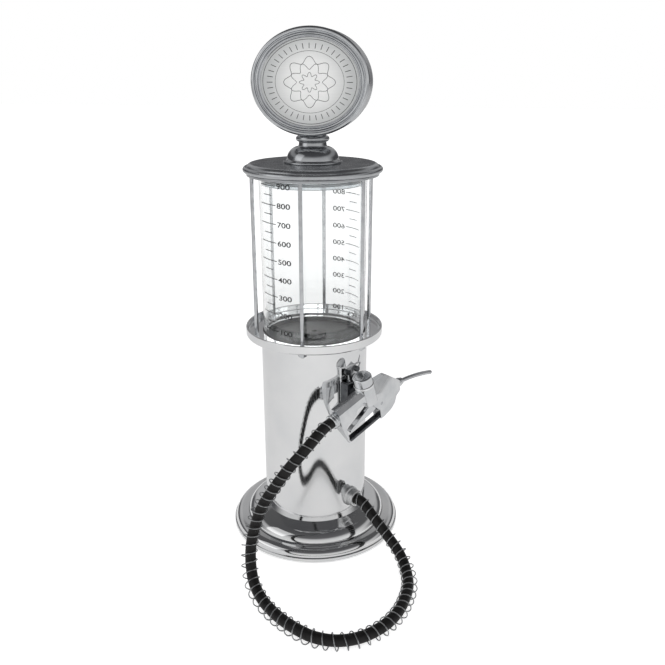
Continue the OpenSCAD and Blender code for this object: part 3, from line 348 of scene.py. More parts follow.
def coil_line():
    """A helix round the hose line: the centre is carried by running length and the wire's place by an
    even turn. The coil is snug at both ends; over 110 mm it widens and sags away from the loop's middle."""
    count = COIL_TURNS * COIL_STEPS + 1
    run = np.concatenate([[0], np.linspace(COIL_LEAD, hose_length - COIL_LEAD, count), [hose_length]])
    turn = np.concatenate([[0], np.linspace(0, 2 * np.pi * COIL_TURNS, count), [2 * np.pi * COIL_TURNS]])
    whole = np.linspace(0, hose_length, len(hose_line))
    tangent, side, up = (at_lengths(run, whole, line) for line in cross_frame(hose_line))
    centre = at_lengths(run, whole, hose_line)
    away = square_to(tangent, centre - LOOP_CENTRE)
    fade = np.clip(np.minimum(run, hose_length - run) / COIL_FADE, 0, 1)[:, None]
    radius = COIL_SNUG_R + (COIL_R - COIL_SNUG_R) * fade
    wire = np.cos(turn)[:, None] * side + np.sin(turn)[:, None] * up
    return centre + COIL_SAG * fade * away + radius * wire


def wire_swept(path, radius, sides):
    """A tube along a wound wire. Its cross direction points from the middle of the winding, which is
    the mean of one turn's points, and is made square to the wire."""
    tangent = unit(np.gradient(path, axis=0))
    one_turn = np.ones(COIL_STEPS) / COIL_STEPS
    padded = np.pad(path, ((COIL_STEPS // 2,) * 2, (0, 0)), "edge")
    middle = np.stack([np.convolve(padded[:, k], one_turn, "valid")[:len(path)] for k in range(3)], -1)
    side = square_to(tangent, path - middle)
    return ringed(path, side, np.cross(tangent, side), radius, sides)


coil_tube = wire_swept(coil_line(), COIL_WIRE_R, 10)
spring = grid_piece("guard_spring", coil_tube, None, "spring_wire", ["hose_spring"])

# The hose and the guard spring have their places baked into their meshes, and they ride on no body.
for part in (hose, spring):
    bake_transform(part)
print("hose faces:", len(hose.data.polygons), "spring faces:", len(spring.data.polygons))

# %% [markdown]
# ## Base and column
# The base is a pressed steel shell: a plain rim, two rolled shoulders with a flat
# ledge between them, and a slope up to the column's foot. Turning the section on 256
# steps keeps the reflections on the rolls free of facets.

# %% Base and column
BASE_FOOT, RIM_TOP, COLUMN_FOOT, COLUMN_TOP = 2.5, 6.0, 24.6, 199.5
COLUMN_R, COLUMN_BORE = 48.8, 47.3
BASE_R, SHEET = 81.0, 1.6
LOWER_ROLL, LOWER_R = (73.5, 6.5), 6.5
UPPER_ROLL, UPPER_R = (55.66, 9.85), 12.5
base_rim = eased(
    [(BASE_R - SHEET, BASE_FOOT), (BASE_R, BASE_FOOT), (BASE_R, RIM_TOP), (BASE_R - 1.0, RIM_TOP + 0.2)],
    [0.2, 0.5, 1.2, 0.1],
)[:-6]
base_profile = np.vstack([
    base_rim,
    arc(LOWER_ROLL, LOWER_R, 2, 90, 28),
    arc(UPPER_ROLL, UPPER_R, 15, 74.5, 36),
    [(48.9, COLUMN_FOOT + 0.1), (47.2, COLUMN_FOOT + 0.1), (47.4, 22.4), (57.0, 20.4)],
    arc(UPPER_ROLL, UPPER_R - SHEET, 74.5, 9, 20),
    arc(LOWER_ROLL, LOWER_R - SHEET, 90, 0, 12),
    [(78.4, RIM_TOP - SHEET), (BASE_R - SHEET, RIM_TOP - SHEET)],
])
turned_piece("pressed_base", base_profile, "stand", "polished_chrome", ["base_shell"], segments=256)
WALL_TOP = COLUMN_TOP - 1.5
column_profile = eased(
    [(COLUMN_BORE, COLUMN_FOOT), (COLUMN_R, COLUMN_FOOT), (COLUMN_R, WALL_TOP), (COLUMN_BORE, WALL_TOP)], 0.2,
)
turned_piece("steel_column", column_profile, "stand", "polished_chrome", ["column"], segments=256)
PAD_R, PAD_TOP = 78.0, BASE_FOOT - 0.02
foot_profile = eased(
    [(0, 0), (PAD_R - 0.6, 0), (PAD_R, 0.6), (PAD_R, PAD_TOP), (0, PAD_TOP)], [0, 0.3, 0.3, 0.1, 0],
)
turned_piece("rubber_foot", foot_profile, "stand", "black_rubber", ["foot_pad"])
print("base profile points:", len(base_profile))

# %% [markdown]
# ## Gallery, cage and canister
# A dished ring sits on the column. Six steel rods rise from it to a ring under the
# lid and cage the clear canister, which stands in the top of the column.

# %% Gallery
GALLERY_LOW, GALLERY_TOP, LIP_TOP = 198.0, 201.5, 206.5
gallery_profile = np.vstack([
    [(COLUMN_BORE, COLUMN_TOP + 0.01), (COLUMN_R, COLUMN_TOP + 0.01), (COLUMN_R + 0.05, GALLERY_LOW)],
    arc((60.7, GALLERY_LOW + 2.0), 2.0, 270, 360, 10),
    arc((61.85, LIP_TOP - 0.85), 0.85, 0, 180, 12),
    arc((60.2, GALLERY_TOP + 0.8), 0.8, 360, 270, 8),
    [(COLUMN_BORE, GALLERY_TOP)],
])
turned_piece("dished_gallery", gallery_profile, "stand", "polished_chrome", ["gallery_ring"], segments=256)
print("gallery profile points:", len(gallery_profile))

# %% Cage
ROD_R, ROD_CIRCLE, ROD_LOW, ROD_TOP = 1.7, 54.8, 193.0, 343.7
rod_places = [(ROD_CIRCLE * math.sin(a), -ROD_CIRCLE * math.cos(a), 0) for a in np.radians(60.0 * np.arange(6))]
rod_profile = eased([(0, ROD_LOW), (ROD_R, ROD_LOW), (ROD_R, ROD_TOP), (0, ROD_TOP)], [0, 0.4, 0.4, 0])
rods = np.stack([turned(rod_profile, origin=place, segments=32) for place in rod_places])
grid_piece("cage_bars", rods, "stand", "rod_steel", ["cage_rods"], loop_rows=True)
turned_piece(
    "cage_crown", eased([(48.4, 342.3), (57.4, 342.3), (57.4, 344.5), (48.4, 344.5)], 0.4),
    "stand", "satin_grey", ["cage_top_ring"],
)
print("cage bars:", len(rod_places))

# %% Canister
CANISTER_LOW, CANISTER_FLOOR, CANISTER_TOP = 192.5, 195.5, 343.2
canister_profile = np.vstack([
    [(6.0, CANISTER_LOW)],
    arc((45.0, CANISTER_LOW + 1.5), 1.5, 270, 360, 8),
    arc((46.7, CANISTER_TOP - 0.5), 0.5, 0, 90, 5),
    arc((45.7, CANISTER_TOP - 0.5), 0.5, 90, 180, 5),
    arc((41.5, CANISTER_FLOOR + 3.0), 3.0, 360, 270, 10),
    [(6.0, CANISTER_FLOOR)],
])
turned_piece("clear_canister", canister_profile, "stand", "clear_plastic", ["canister"], segments=256)
turned_piece(
    "canister_pad", eased([(6.0, 186.0), (47.1, 186.0), (47.1, 192.45), (6.0, 192.45)], [0, 0.5, 1.5, 0]),
    "stand", "dark_plastic", ["canister_seat"],
)
print("canister height in mm:", CANISTER_TOP - CANISTER_LOW)

# %% [markdown]
# ## Lid and neck
# The lid is spun from sheet: a flat top, a rounded shoulder and a bead at the rim.
# A turned neck carries the sign. Both belong to the body that lifts off.

# %% Lid and neck
LID_LOW, LID_TOP = 344.8, 352.5
lid_profile = np.vstack([
    [(0.0, LID_TOP), (48.0, LID_TOP)],
    arc((53.0, LID_TOP - 4.5), 4.5, 90, 21.5, 14),
    arc((58.0, LID_LOW + 2.5), 2.5, 110, -90, 24),
    [(51.0, LID_LOW), (51.0, LID_TOP - 2.0), (0.0, LID_TOP - 2.0)],
])
turned_piece("spun_lid", lid_profile, "lid", "satin_grey", ["lid"], segments=256)

neck_profile = np.vstack([
    [(0.0, LID_TOP + 0.01)],
    arc((24.6, LID_TOP + 0.8), 0.8, 270, 360, 6),
    arc((24.6, LID_TOP + 1.2), 0.8, 0, 90, 6),
    arc((23.6, LID_TOP + 2.4), 0.4, 270, 180, 4),
    arc((11.2, LID_TOP + 2.6), 11.2, 2, 76, 26),
    arc((13.9, LID_TOP + 15.2), 1.9, 255, 180, 8),
    [(11.8, LID_TOP + 16.4), (11.7, LID_TOP + 17.3)],
    arc((12.0, LID_TOP + 20.0), 2.4, 250, 450, 22),
    [(11.6, LID_TOP + 22.6), (11.5, LID_TOP + 23.6), (0.0, LID_TOP + 23.6)],
])
turned_piece("turned_neck", neck_profile, "lid", "satin_grey", ["neck"], sharp=50)
print("lid and neck profile points:", len(lid_profile), len(neck_profile))

# %% [markdown]
# ## Oval sign
# The sign is an oval drum with a stepped bezel and a dial on each face. A profile of
# inset and height is carried round the oval: the point at an angle is moved inwards
# along the oval's normal by the inset, and outwards along the drum's axis by the height.

# %% Oval sign
SIGN_A, SIGN_B, SIGN_Z, SIGN_HALF = 49.5, 43.0, 418.0, 10.5


def round_the_oval(profile, facing, steps=256):
    """Rows of the profile's inset and height carried round the oval; facing is -1 for the front."""
    turn = full_turn(steps)
    edge = np.stack([SIGN_A * np.cos(turn), SIGN_B * np.sin(turn)], -1)
    normal = unit(np.stack([SIGN_B * np.cos(turn), SIGN_A * np.sin(turn)], -1))
    inset, height = held(profile, poles=False).T
    flat = edge[None] - inset[:, None, None] * normal[None]
    depth = np.broadcast_to(facing * height[:, None], flat.shape[:2])
    return np.stack([flat[..., 0], depth, SIGN_Z + flat[..., 1]], -1) * MM


DRUM_WALL = 10.5
drum_profile = eased(
    [(0.0, -SIGN_HALF), (0.0, SIGN_HALF), (DRUM_WALL, SIGN_HALF), (DRUM_WALL, -SIGN_HALF)], [0.3, 0.3, 0.1, 0.1],
)
grid_piece("sign_drum", round_the_oval(drum_profile, 1), "lid", "satin_grey", ["sign_body"], loop_rows=True)

# Inset and rise of the bezel: an outer roll, a groove, a middle roll, a groove and a flat lip.
BEZEL = np.array([
    (0.0, 0.02), (0.0, 1.2), (0.25, 1.9), (0.8, 2.55), (1.5, 2.9), (2.3, 3.0), (2.9, 2.7), (3.15, 1.9),
    (3.4, 1.5), (4.0, 1.5), (4.25, 1.9), (4.6, 2.6), (5.2, 2.95), (5.8, 2.9), (6.2, 2.5), (6.4, 1.8),
    (6.7, 1.5), (7.3, 1.5), (7.6, 2.2), (8.2, 2.2), (8.5, 1.9), (8.5, 1.22), (7.35, 1.22), (7.35, 0.02),
])
for name, facing, node in (("front_bezel", -1, "sign_bezel_front"), ("back_bezel", 1, "sign_bezel_back")):
    bezel_grid = round_the_oval(BEZEL + (0.0, SIGN_HALF), facing)
    grid_piece(name, bezel_grid, "lid", "sign_frame", [node], loop_rows=True, sharp=40)
print("bezel profile points:", len(BEZEL))

# %% [markdown]
# ## Dial ornament
# Each dial carries a plain line ornament in dark ink: a fine oval line near the edge,
# a ring of short strokes, and a rosette of three nested waves. Each line is a ribbon
# of constant width, a hair above the dial.

# %% Dial ornament
INK_LIFT = 0.04
DIAL_A, DIAL_B, DIAL_RISE = SIGN_A - 8.5, SIGN_B - 8.5, 1.2


def ribbon(centre_line, width):
    """A closed ribbon: the line moved to both sides along its normal by half of the width."""
    tangent = unit(np.roll(centre_line, -1, 0) - np.roll(centre_line, 1, 0))
    normal = np.stack([-tangent[:, 1], tangent[:, 0]], -1)
    return np.stack([centre_line - width / 2 * normal, centre_line + width / 2 * normal])


def oval_line(share, steps=240):
    """The dial's oval, shrunk to a share of its size."""
    turn = full_turn(steps)
    return np.stack([share * DIAL_A * np.cos(turn), share * DIAL_B * np.sin(turn)], -1)


def rosette(radius, wave, lobes, shift, steps=360):
    """Radius times one plus a share of the cosine of several turns."""
    turn = full_turn(steps)
    reach = radius * (1 + wave * np.cos(lobes * turn + shift))
    return np.stack([1.08 * reach * np.cos(turn), reach * np.sin(turn)], -1)


def strokes(inner, outer, count, width):
    """Short radial bars between two shares of the dial's oval, each a quad of a constant width."""
    turn = full_turn(count)
    way = np.stack([DIAL_A * np.cos(turn), DIAL_B * np.sin(turn)], -1)
    side = unit(np.stack([-way[:, 1], way[:, 0]], -1)) * width / 2
    near, far = inner * way, outer * way
    return np.stack([np.stack([near - side, near + side], 1), np.stack([far - side, far + side], 1)], 1)


def flat_mesh(name, place, faces, way):
    """A mesh of loose flat faces. A face whose normal, the cross product of two of its sides, points
    against the way is turned round."""
    a, b, c = (place[faces[:, k]] for k in range(3))
    wrong = np.sum(np.cross(b - a, c - a) * way, 1) < 0
    faces[wrong] = faces[wrong][:, ::-1]
    mesh = bpy.data.meshes.new(name)
    mesh.from_pydata(place.tolist(), [], faces.tolist())
    return mesh


def ink_mesh(name, facing):
    """All ribbons and bars in one mesh, laid on the dial's plane and facing outwards."""
    lines = [
        ribbon(oval_line(0.955), 0.45), ribbon(oval_line(0.70), 0.3),
        ribbon(rosette(17.5, 0.14, 8, 0.0), 0.4), ribbon(rosette(12.5, 0.2, 8, math.pi), 0.36),
        ribbon(rosette(6.2, 0.25, 8, 0.0), 0.36),
    ]
    bars = strokes(0.755, 0.875, 40, 0.55)
    points, faces, start = [], [], 0
    for line in lines:
        n = line.shape[1]
        k = np.arange(n)
        faces.append(np.stack([k, np.roll(k, -1), n + np.roll(k, -1), n + k], -1) + start)
        points.append(line.reshape(-1, 2))
        start += 2 * n
    b = np.arange(len(bars))[:, None] * 4 + np.array([0, 2, 3, 1])
    faces.append(b + start)
    points.append(bars.reshape(-1, 2))
    flat, quads = np.vstack(points), np.vstack(faces)
    depth = facing * (SIGN_HALF + DIAL_RISE + INK_LIFT)
    place = np.stack([-facing * flat[:, 0], np.full(len(flat), depth), SIGN_Z + flat[:, 1]], -1) * MM
    return flat_mesh(name, place, quads, (0, facing, 0))


for name, facing in (("front_dial_ink", -1), ("back_dial_ink", 1)):
    dial_ink = piece(name, ink_mesh(name, facing), "lid", "dark_plastic")
    print(name, "faces:", len(dial_ink.data.polygons))

# %% [markdown]
# ## Printed scale
# The canister has a scale in ink on two opposite sides, in steps of 50 with a number
# at each 100. Flat bars and digits are bent round the canister: a distance along the
# skin becomes an angle, and the radius follows the canister's slight draft.

# %% Printed scale
SCALE_ZERO, SCALE_STEP = 194.3, 15.9
DIGIT_H = 4.4
DIGIT_STRETCH = np.array([1.45, 1.0])
SKIN_LOW, SKIN_DRAFT, SKIN_MEAN, SCALE_LIFT = 46.5, 0.7, 46.8, 0.06
LONG_MARK, SHORT_MARK, NUMBER_FROM = (-69.0, -42.0), (-62.0, -48.0), -40.5      # degrees from the front
MARK_HALF, MARK_COLS = 0.34, 9


def on_canister(along, height, azimuth):
    """Bends flat points round the canister: angle is azimuth plus distance over radius."""
    radius = SKIN_LOW + SKIN_DRAFT * (height - CANISTER_LOW) / (CANISTER_TOP - CANISTER_LOW) + SCALE_LIFT
    turn = np.radians(azimuth) + along / radius
    return np.stack([radius * np.sin(turn), -radius * np.cos(turn), height], -1) * MM


def digit_mesh(text):
    """Vertices and triangles of a number in the built-in face, flat, in mm, from its left end."""
    curve = bpy.data.curves.new("number", "FONT")
    curve.body = text
    curve.size = DIGIT_H / 0.70
    curve.offset = 0.11
    curve.align_x = "LEFT"
    obj = bpy.data.objects.new("number", curve)
    bpy.context.scene.collection.objects.link(obj)
    mesh = bpy.data.meshes.new_from_object(obj.evaluated_get(bpy.context.evaluated_depsgraph_get()))
    co = np.empty(len(mesh.vertices) * 3)
    mesh.vertices.foreach_get("co", co)
    mesh.calc_loop_triangles()
    tri = np.empty(len(mesh.loop_triangles) * 3, int)
    mesh.loop_triangles.foreach_get("vertices", tri)
    bpy.data.objects.remove(obj)
    bpy.data.curves.remove(curve)
    bpy.data.meshes.remove(mesh)
    return co.reshape(-1, 3)[:, :2] * DIGIT_STRETCH, tri.reshape(-1, 3)


def scale_mesh():
    """Marks and numbers of both scales in one mesh. A mark is a strip between two angles, and a
    number stands right of its mark. All of them look away from the canister's axis."""
    points, faces, start = [], [], 0
    levels = np.arange(100, 951, 50)
    numbers = {int(v): digit_mesh(str(v)) for v in levels if v % 100 == 0}
    for azimuth in (CAMERA_AZIMUTH, CAMERA_AZIMUTH + 180.0):
        for level in levels:
            height = SCALE_ZERO + SCALE_STEP * level / 100.0
            left, right = LONG_MARK if level % 100 == 0 else SHORT_MARK
            reach = np.radians(np.linspace(left, right, MARK_COLS)) * SKIN_MEAN
            rise = np.repeat([-MARK_HALF, MARK_HALF], MARK_COLS)
            points.append(on_canister(np.tile(reach, 2), height + rise, azimuth))
            k = np.arange(MARK_COLS - 1)
            quad = np.stack([k, k + 1, k + MARK_COLS + 1, k + MARK_COLS], -1) + start
            faces.append(np.vstack([quad[:, [0, 1, 2]], quad[:, [0, 2, 3]]]))
            start += 2 * MARK_COLS
            if level % 100 == 0:
                flat, tri = numbers[int(level)]
                along = flat[:, 0] + math.radians(NUMBER_FROM) * SKIN_MEAN
                points.append(on_canister(along, height - DIGIT_H / 2 + flat[:, 1], azimuth))
                faces.append(tri + start)
                start += len(flat)
    place, tris = np.vstack(points), np.vstack(faces)
    return flat_mesh("canister_scale", place, tris, place[tris].mean(1) * (1, 1, 0))


scale = piece("canister_scale", scale_mesh(), "stand", "dark_plastic")
print("scale triangles:", len(scale.data.polygons))

# %% [markdown]
# ## Nozzle
# The nozzle is a die-cast body with flat cheeks. Its solid has the right shape, so a
# copy of it is merged and its edges are bevelled by about half a millimetre, which
# gives plated castings their bright outlines. The round fittings are turned again.


# %% Cast and pressed pieces
def eased_copy(name, node, body, slot, width, segments=3):
    """A merged copy of a solid with its flat faces joined and its sharp edges bevelled."""
    mesh = nodes[node].data.copy()
    mesh.name = name
    mesh.materials.clear()
    work = bmesh.new()
    work.from_mesh(mesh)
    bmesh.ops.remove_doubles(work, verts=work.verts, dist=2e-6)
    bmesh.ops.dissolve_limit(work, angle_limit=math.radians(0.6), verts=work.verts, edges=work.edges)
    work.to_mesh(mesh)
    work.free()
    if "custom_normal" in mesh.attributes:
        mesh.attributes.remove(mesh.attributes["custom_normal"])
    mesh.polygons.foreach_set("use_smooth", np.ones(len(mesh.polygons), bool))
    obj = piece(name, mesh, body, slot, [node])
    bevel = obj.modifiers.new("eased_edges", "BEVEL")
    bevel.width = width * MM
    bevel.segments = segments
    bevel.limit_method = "ANGLE"
    bevel.angle_limit = math.radians(28)
    bevel.harden_normals = True
    return obj


CAST = [        # name, solid, body, slot, width of the bevel in mm
    ("cast_nozzle", "nozzle_body", "nozzle", "nozzle_chrome", 0.5),
    ("cast_guard", "trigger_guard", "nozzle", "dark_steel", 0.6),
    ("pressed_trigger", "trigger", "trigger", "nozzle_chrome", 0.4),
    ("welded_fork", "holster_fork", "stand", "dark_steel", 0.4),
    ("back_plate", "holster_plate", "stand", "polished_chrome", 0.3),
]
for row in CAST:
    eased_copy(*row)
print("bevelled copies:", len(CAST))

# %% Turned fittings
GRIP_ORIGIN = HOSE_END
VALVE = GRIP_ORIGIN + 45.0 * GRIP_X
UPRIGHT = np.stack([GRIP_X, GRIP_Y, GRIP_Z])
LENGTHWISE = np.stack([GRIP_Y, GRIP_Z, GRIP_X])
CAP = [(0, 12.55), (8.6, 12.55), (8.6, 20.2), (7.7, 21.0), (6.6, 21.0), (6.3, 20.5), (0, 20.5)]
turned_piece(
    "valve_cap_turned", eased(CAP, [0, 0.2, 0.4, 0.3, 0.2, 0.2, 0]),
    "nozzle", "nozzle_chrome", ["valve_cap"], origin=VALVE, axes=UPRIGHT, segments=96,
)
turned_piece(
    "cap_collar", eased([(6.1, 10.0), (9.2, 10.0), (9.2, 12.5), (6.1, 12.5)], [0, 0.5, 0.5, 0]),
    "nozzle", "polished_chrome", ["cap_ring"], origin=VALVE, axes=UPRIGHT, segments=96,
)
HOSE_FERRULE = [
    (2.2, 0.02), (5.9, 0.02), (6.6, 0.7), (6.6, 2.2), (6.2, 2.5), (6.2, 2.9),
    (6.6, 3.2), (6.6, 4.4), (5.9, 5.1), (5.9, 5.98), (2.2, 5.98),
]
turned_piece(
    "hose_ferrule", eased(HOSE_FERRULE, [0, 0.4, 0.3, 0.2, 0.1, 0.1, 0.2, 0.3, 0.3, 0.1, 0]),
    "nozzle", "nozzle_chrome", ["hose_nut"], origin=GRIP_ORIGIN, axes=LENGTHWISE, segments=96,
)
SPOUT_PITCH = math.radians(12.0)
SPOUT_X = math.cos(SPOUT_PITCH) * GRIP_X - math.sin(SPOUT_PITCH) * GRIP_Z
SPOUT_Z = np.cross(SPOUT_X, GRIP_Y)
SPOUT_ROOT = GRIP_ORIGIN + 82.0 * GRIP_X - 12.0 * GRIP_Z
SPOUT_FERRULE = [(2.2, 0.0), (4.2, 0.0), (4.2, 4.6), (3.3, 5.2), (3.3, 7.4), (2.9, 8.0), (2.2, 8.0)]
turned_piece(
    "spout_ferrule", eased(SPOUT_FERRULE, [0, 0.2, 0.4, 0.3, 0.3, 0.2, 0]), "nozzle", "nozzle_chrome", ["spout_nut"],
    origin=SPOUT_ROOT, axes=np.stack([GRIP_Y, SPOUT_Z, SPOUT_X]), segments=64,
)
print("valve axis at mm:", VALVE.round(1))

# %% [markdown]
# The spout is a thin tube bent to a large radius. Its bore is the same sweep with a
# smaller radius, joined to the outside at both ends.

# %% Spout
SPOUT_BEND, SPOUT_LONG, SPOUT_R, SPOUT_BORE = 175.0, 50.0, 2.0, 1.4
spout_run = np.linspace(0.0, SPOUT_LONG, 61)
spout_line = (
    SPOUT_ROOT + SPOUT_BEND * np.sin(spout_run / SPOUT_BEND)[:, None] * SPOUT_X
    - SPOUT_BEND * (1 - np.cos(spout_run / SPOUT_BEND))[:, None] * SPOUT_Z
)
spout_out = swept(spout_line, SPOUT_R, 40)[1:-1]
spout_in = swept(spout_line, SPOUT_BORE, 40)[1:-1][::-1]
spout_grid = np.concatenate([spout_out, spout_in])
grid_piece("bent_spout", spout_grid, "nozzle", "rod_steel", ["spout"], loop_rows=True)
print("spout length in mm:", SPOUT_LONG)

# %% [markdown]
# A small return spring sits on the valve inside the cap. It is wound again between the
# ends of its solid. In the real nozzle it shortens by the valve's travel when the trigger is pulled; here it is drawn
# at rest.

# %% Return spring
RETURN_R, RETURN_WIRE_R, RETURN_TURNS, VALVE_TRAVEL = 3.3, 0.4, 5, 2.09
spring_points = np.empty(3 * len(nodes["valve_spring"].data.vertices))
nodes["valve_spring"].data.vertices.foreach_get("co", spring_points)
spring_rise = (spring_points.reshape(-1, 3) / MM - VALVE) @ GRIP_Z
spring_low, spring_high = spring_rise.min(), spring_rise.max()
wind = np.linspace(0, 2 * np.pi * RETURN_TURNS, 24 * RETURN_TURNS + 1)[:, None]
climb = np.linspace(spring_low + RETURN_WIRE_R, spring_high - RETURN_WIRE_R, len(wind))[:, None]
return_line = VALVE + RETURN_R * (np.cos(wind) * GRIP_X + np.sin(wind) * GRIP_Y) + climb * GRIP_Z
return_tube = swept(return_line, RETURN_WIRE_R, 10)
return_spring = grid_piece("return_spring", return_tube, "nozzle", "spring_wire", ["valve_spring"])
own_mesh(return_spring)
print("return spring length in mm:", round(spring_high - spring_low, 2))

# %% [markdown]
# The collar at the column's foot is turned round the outlet's axis. Its inner end is
# hidden in the column's wall.

# %% Outlet collar
COLLAR = [
    (3.6, 47.9), (9.2, 47.9), (9.2, 50.6), (8.0, 51.2), (8.0, 57.2),
    (7.2, 57.98), (5.4, 57.98), (5.0, 57.4), (3.6, 57.4),
]
turned_piece(
    "outlet_boss", eased(COLLAR, [0, 0.1, 0.5, 0.4, 0.8, 0.4, 0.2, 0.2, 0]),
    "stand", "polished_chrome", ["outlet_collar"], origin=(0, 0, 45.0),
    axes=np.stack([ALONG, np.array([0, 0, 1.0]), OUTWARD]), segments=96,
)
print("outlet height in mm:", HOSE_START[2])

# %% [markdown]
# ## Finishes
# Each finish starts from the real one. Colours are written as sRGB hex values and
# turned to linear light by one function, and one small function adds a node.


# %% Node helpers
def linear(code):
    """sRGB hex to linear: below 0.04045 divide by 12.92, above it raise to the power 2.4."""
    channel = np.array([int(code[k:k + 2], 16) for k in (1, 3, 5)]) / 255
    light = np.where(channel <= 0.04045, channel / 12.92, ((channel + 0.055) / 1.055) ** 2.4)
    return (*light.tolist(), 1.0)


# A Mix node has sockets of one name for each kind of data, so its colour sockets go by number.
COLOUR_A, COLOUR_B, COLOUR_OUT = 6, 7, 2
RELIEF_DEPTH = 0.0002


def add(tree, kind, inputs=None, **settings):
    """One node with its settings; an input is a value, or a socket to link from."""
    node = tree.nodes.new(kind)
    for key, value in settings.items():
        setattr(node, key, value)
    for key, value in (inputs or {}).items():
        if isinstance(value, bpy.types.NodeSocket):
            tree.links.new(value, node.inputs[key])
        else:
            node.inputs[key].default_value = value
    return node


def finish(name, **shader):
    """A material with one Principled shader, returned with its tree and shader."""
    material = bpy.data.materials.new(name)
    material.use_nodes = True
    tree = material.node_tree
    tree.nodes.clear()
    out = add(tree, "ShaderNodeOutputMaterial")
    body = add(tree, "ShaderNodeBsdfPrincipled", shader)
    tree.links.new(body.outputs["BSDF"], out.inputs["Surface"])
    return material, tree, body


def per_metre(size_mm):
    """A noise or wave scale for features of a size in mm, because Object coordinates are metres."""
    return 1000.0 / size_mm


def blotched(tree, body, light, dark, size_mm, rough, bump_mm=None, bump_strength=0.1):
    """Soft noise mixes two near colours and two roughnesses, with an optional fine bump."""
    place = add(tree, "ShaderNodeTexCoord").outputs["Object"]
    noise = add(tree, "ShaderNodeTexNoise", {"Vector": place, "Scale": per_metre(size_mm), "Detail": 3.0})
    shade = add(tree, "ShaderNodeValToRGB", {"Fac": noise.outputs["Fac"]})
    shade.color_ramp.elements[0].position, shade.color_ramp.elements[1].position = 0.3, 0.7
    shade.color_ramp.elements[0].color, shade.color_ramp.elements[1].color = linear(dark), linear(light)
    tree.links.new(shade.outputs["Color"], body.inputs["Base Color"])
    gloss = add(tree, "ShaderNodeMapRange", {
        "Value": noise.outputs["Fac"], "From Min": 0.3, "From Max": 0.7, "To Min": rough[0], "To Max": rough[1],
    })
    tree.links.new(gloss.outputs["Result"], body.inputs["Roughness"])
    if bump_mm:
        fine = add(tree, "ShaderNodeTexNoise", {"Vector": place, "Scale": per_metre(bump_mm), "Detail": 4.0})
        relief = add(tree, "ShaderNodeBump", {
            "Height": fine.outputs["Fac"], "Strength": bump_strength, "Distance": RELIEF_DEPTH,
        })
        tree.links.new(relief.outputs["Normal"], body.inputs["Normal"])
    return place


# %% [markdown]
# ### Metals
# Polished stainless sheet is almost a mirror, with a slow ripple from pressing.
# Plated die-cast is a little darker and rougher. Lid and neck are zinc turned on a
# lathe, so they carry fine rings round their axis, and the sign's frame is stamped.
# Drawn bar and wire are greyer and blur what they mirror, as the nickel collar does.

# %% Metals
chrome, tree, body = finish("polished_stainless_sheet", Metallic=1.0)
blotched(tree, body, "#ececec", "#e2e3e4", 40.0, (0.05, 0.09), bump_mm=60.0, bump_strength=0.03)

cast_chrome, tree, body = finish("plated_die_cast", Metallic=1.0)
blotched(tree, body, "#dfe0e1", "#cfd1d3", 12.0, (0.08, 0.14), bump_mm=3.0, bump_strength=0.04)

dark_steel, tree, body = finish("burnished_dark_steel", Metallic=1.0)
blotched(tree, body, "#6d6f72", "#4c4e51", 6.0, (0.25, 0.38), bump_mm=1.0, bump_strength=0.1)

bar_steel, tree, body = finish("drawn_steel_bar", Metallic=1.0)
blotched(tree, body, "#d2d3d5", "#b9bbbe", 8.0, (0.16, 0.26))

wire_steel, tree, body = finish("drawn_spring_wire", Metallic=1.0)
blotched(tree, body, "#b4b5b6", "#8b8d8f", 4.0, (0.24, 0.36))

collar_satin, tree, body = finish("satin_nickel_collar", Metallic=1.0)
blotched(tree, body, "#dedfdf", "#cfd0d1", 5.0, (0.34, 0.44), bump_mm=1.0, bump_strength=0.05)


def lathe_rings(tree, body, place, spacing_mm, strength):
    """Fine rings: the distance from the vertical axis drives a wave of the given spacing. Real tool
    marks are about 0.1 mm apart; they are drawn coarser so that they show."""
    apart = add(tree, "ShaderNodeSeparateXYZ", {"Vector": place})
    flat = add(tree, "ShaderNodeCombineXYZ", {"X": apart.outputs["X"], "Y": apart.outputs["Y"]})
    reach = add(tree, "ShaderNodeVectorMath", {0: flat.outputs["Vector"]}, operation="LENGTH")
    height = add(tree, "ShaderNodeMath", {0: reach.outputs["Value"], 1: apart.outputs["Z"]}, operation="SUBTRACT")
    rate = 2 * math.pi * per_metre(spacing_mm)
    phase = add(tree, "ShaderNodeMath", {0: height.outputs["Value"], 1: rate}, operation="MULTIPLY")
    wave = add(tree, "ShaderNodeMath", {0: phase.outputs["Value"]}, operation="SINE")
    marks = {"Height": wave.outputs["Value"], "Strength": strength, "Distance": RELIEF_DEPTH}
    relief = add(tree, "ShaderNodeBump", marks)
    tree.links.new(relief.outputs["Normal"], body.inputs["Normal"])


satin, tree, body = finish("satin_turned_zinc", Metallic=1.0)
place = blotched(tree, body, "#c2c4c6", "#b2b4b7", 10.0, (0.20, 0.28))
lathe_rings(tree, body, place, 1.2, 0.06)

# The neck is polished smoother than the lid, which is real, and its colour is painted darker than the lid's, as painted
# shade.
neck_satin, tree, body = finish("polished_turned_zinc", Metallic=1.0)
place = blotched(tree, body, "#b6b8ba", "#a6a8ab", 10.0, (0.10, 0.16))
lathe_rings(tree, body, place, 1.2, 0.03)

frame_satin, tree, body = finish("satin_stamped_frame", Metallic=1.0)
blotched(tree, body, "#cbcdcf", "#babcbf", 9.0, (0.09, 0.14), bump_mm=2.0, bump_strength=0.02)

brass, tree, body = finish("turned_brass", Metallic=1.0)
blotched(tree, body, "#c9ad6a", "#b39450", 5.0, (0.25, 0.35))
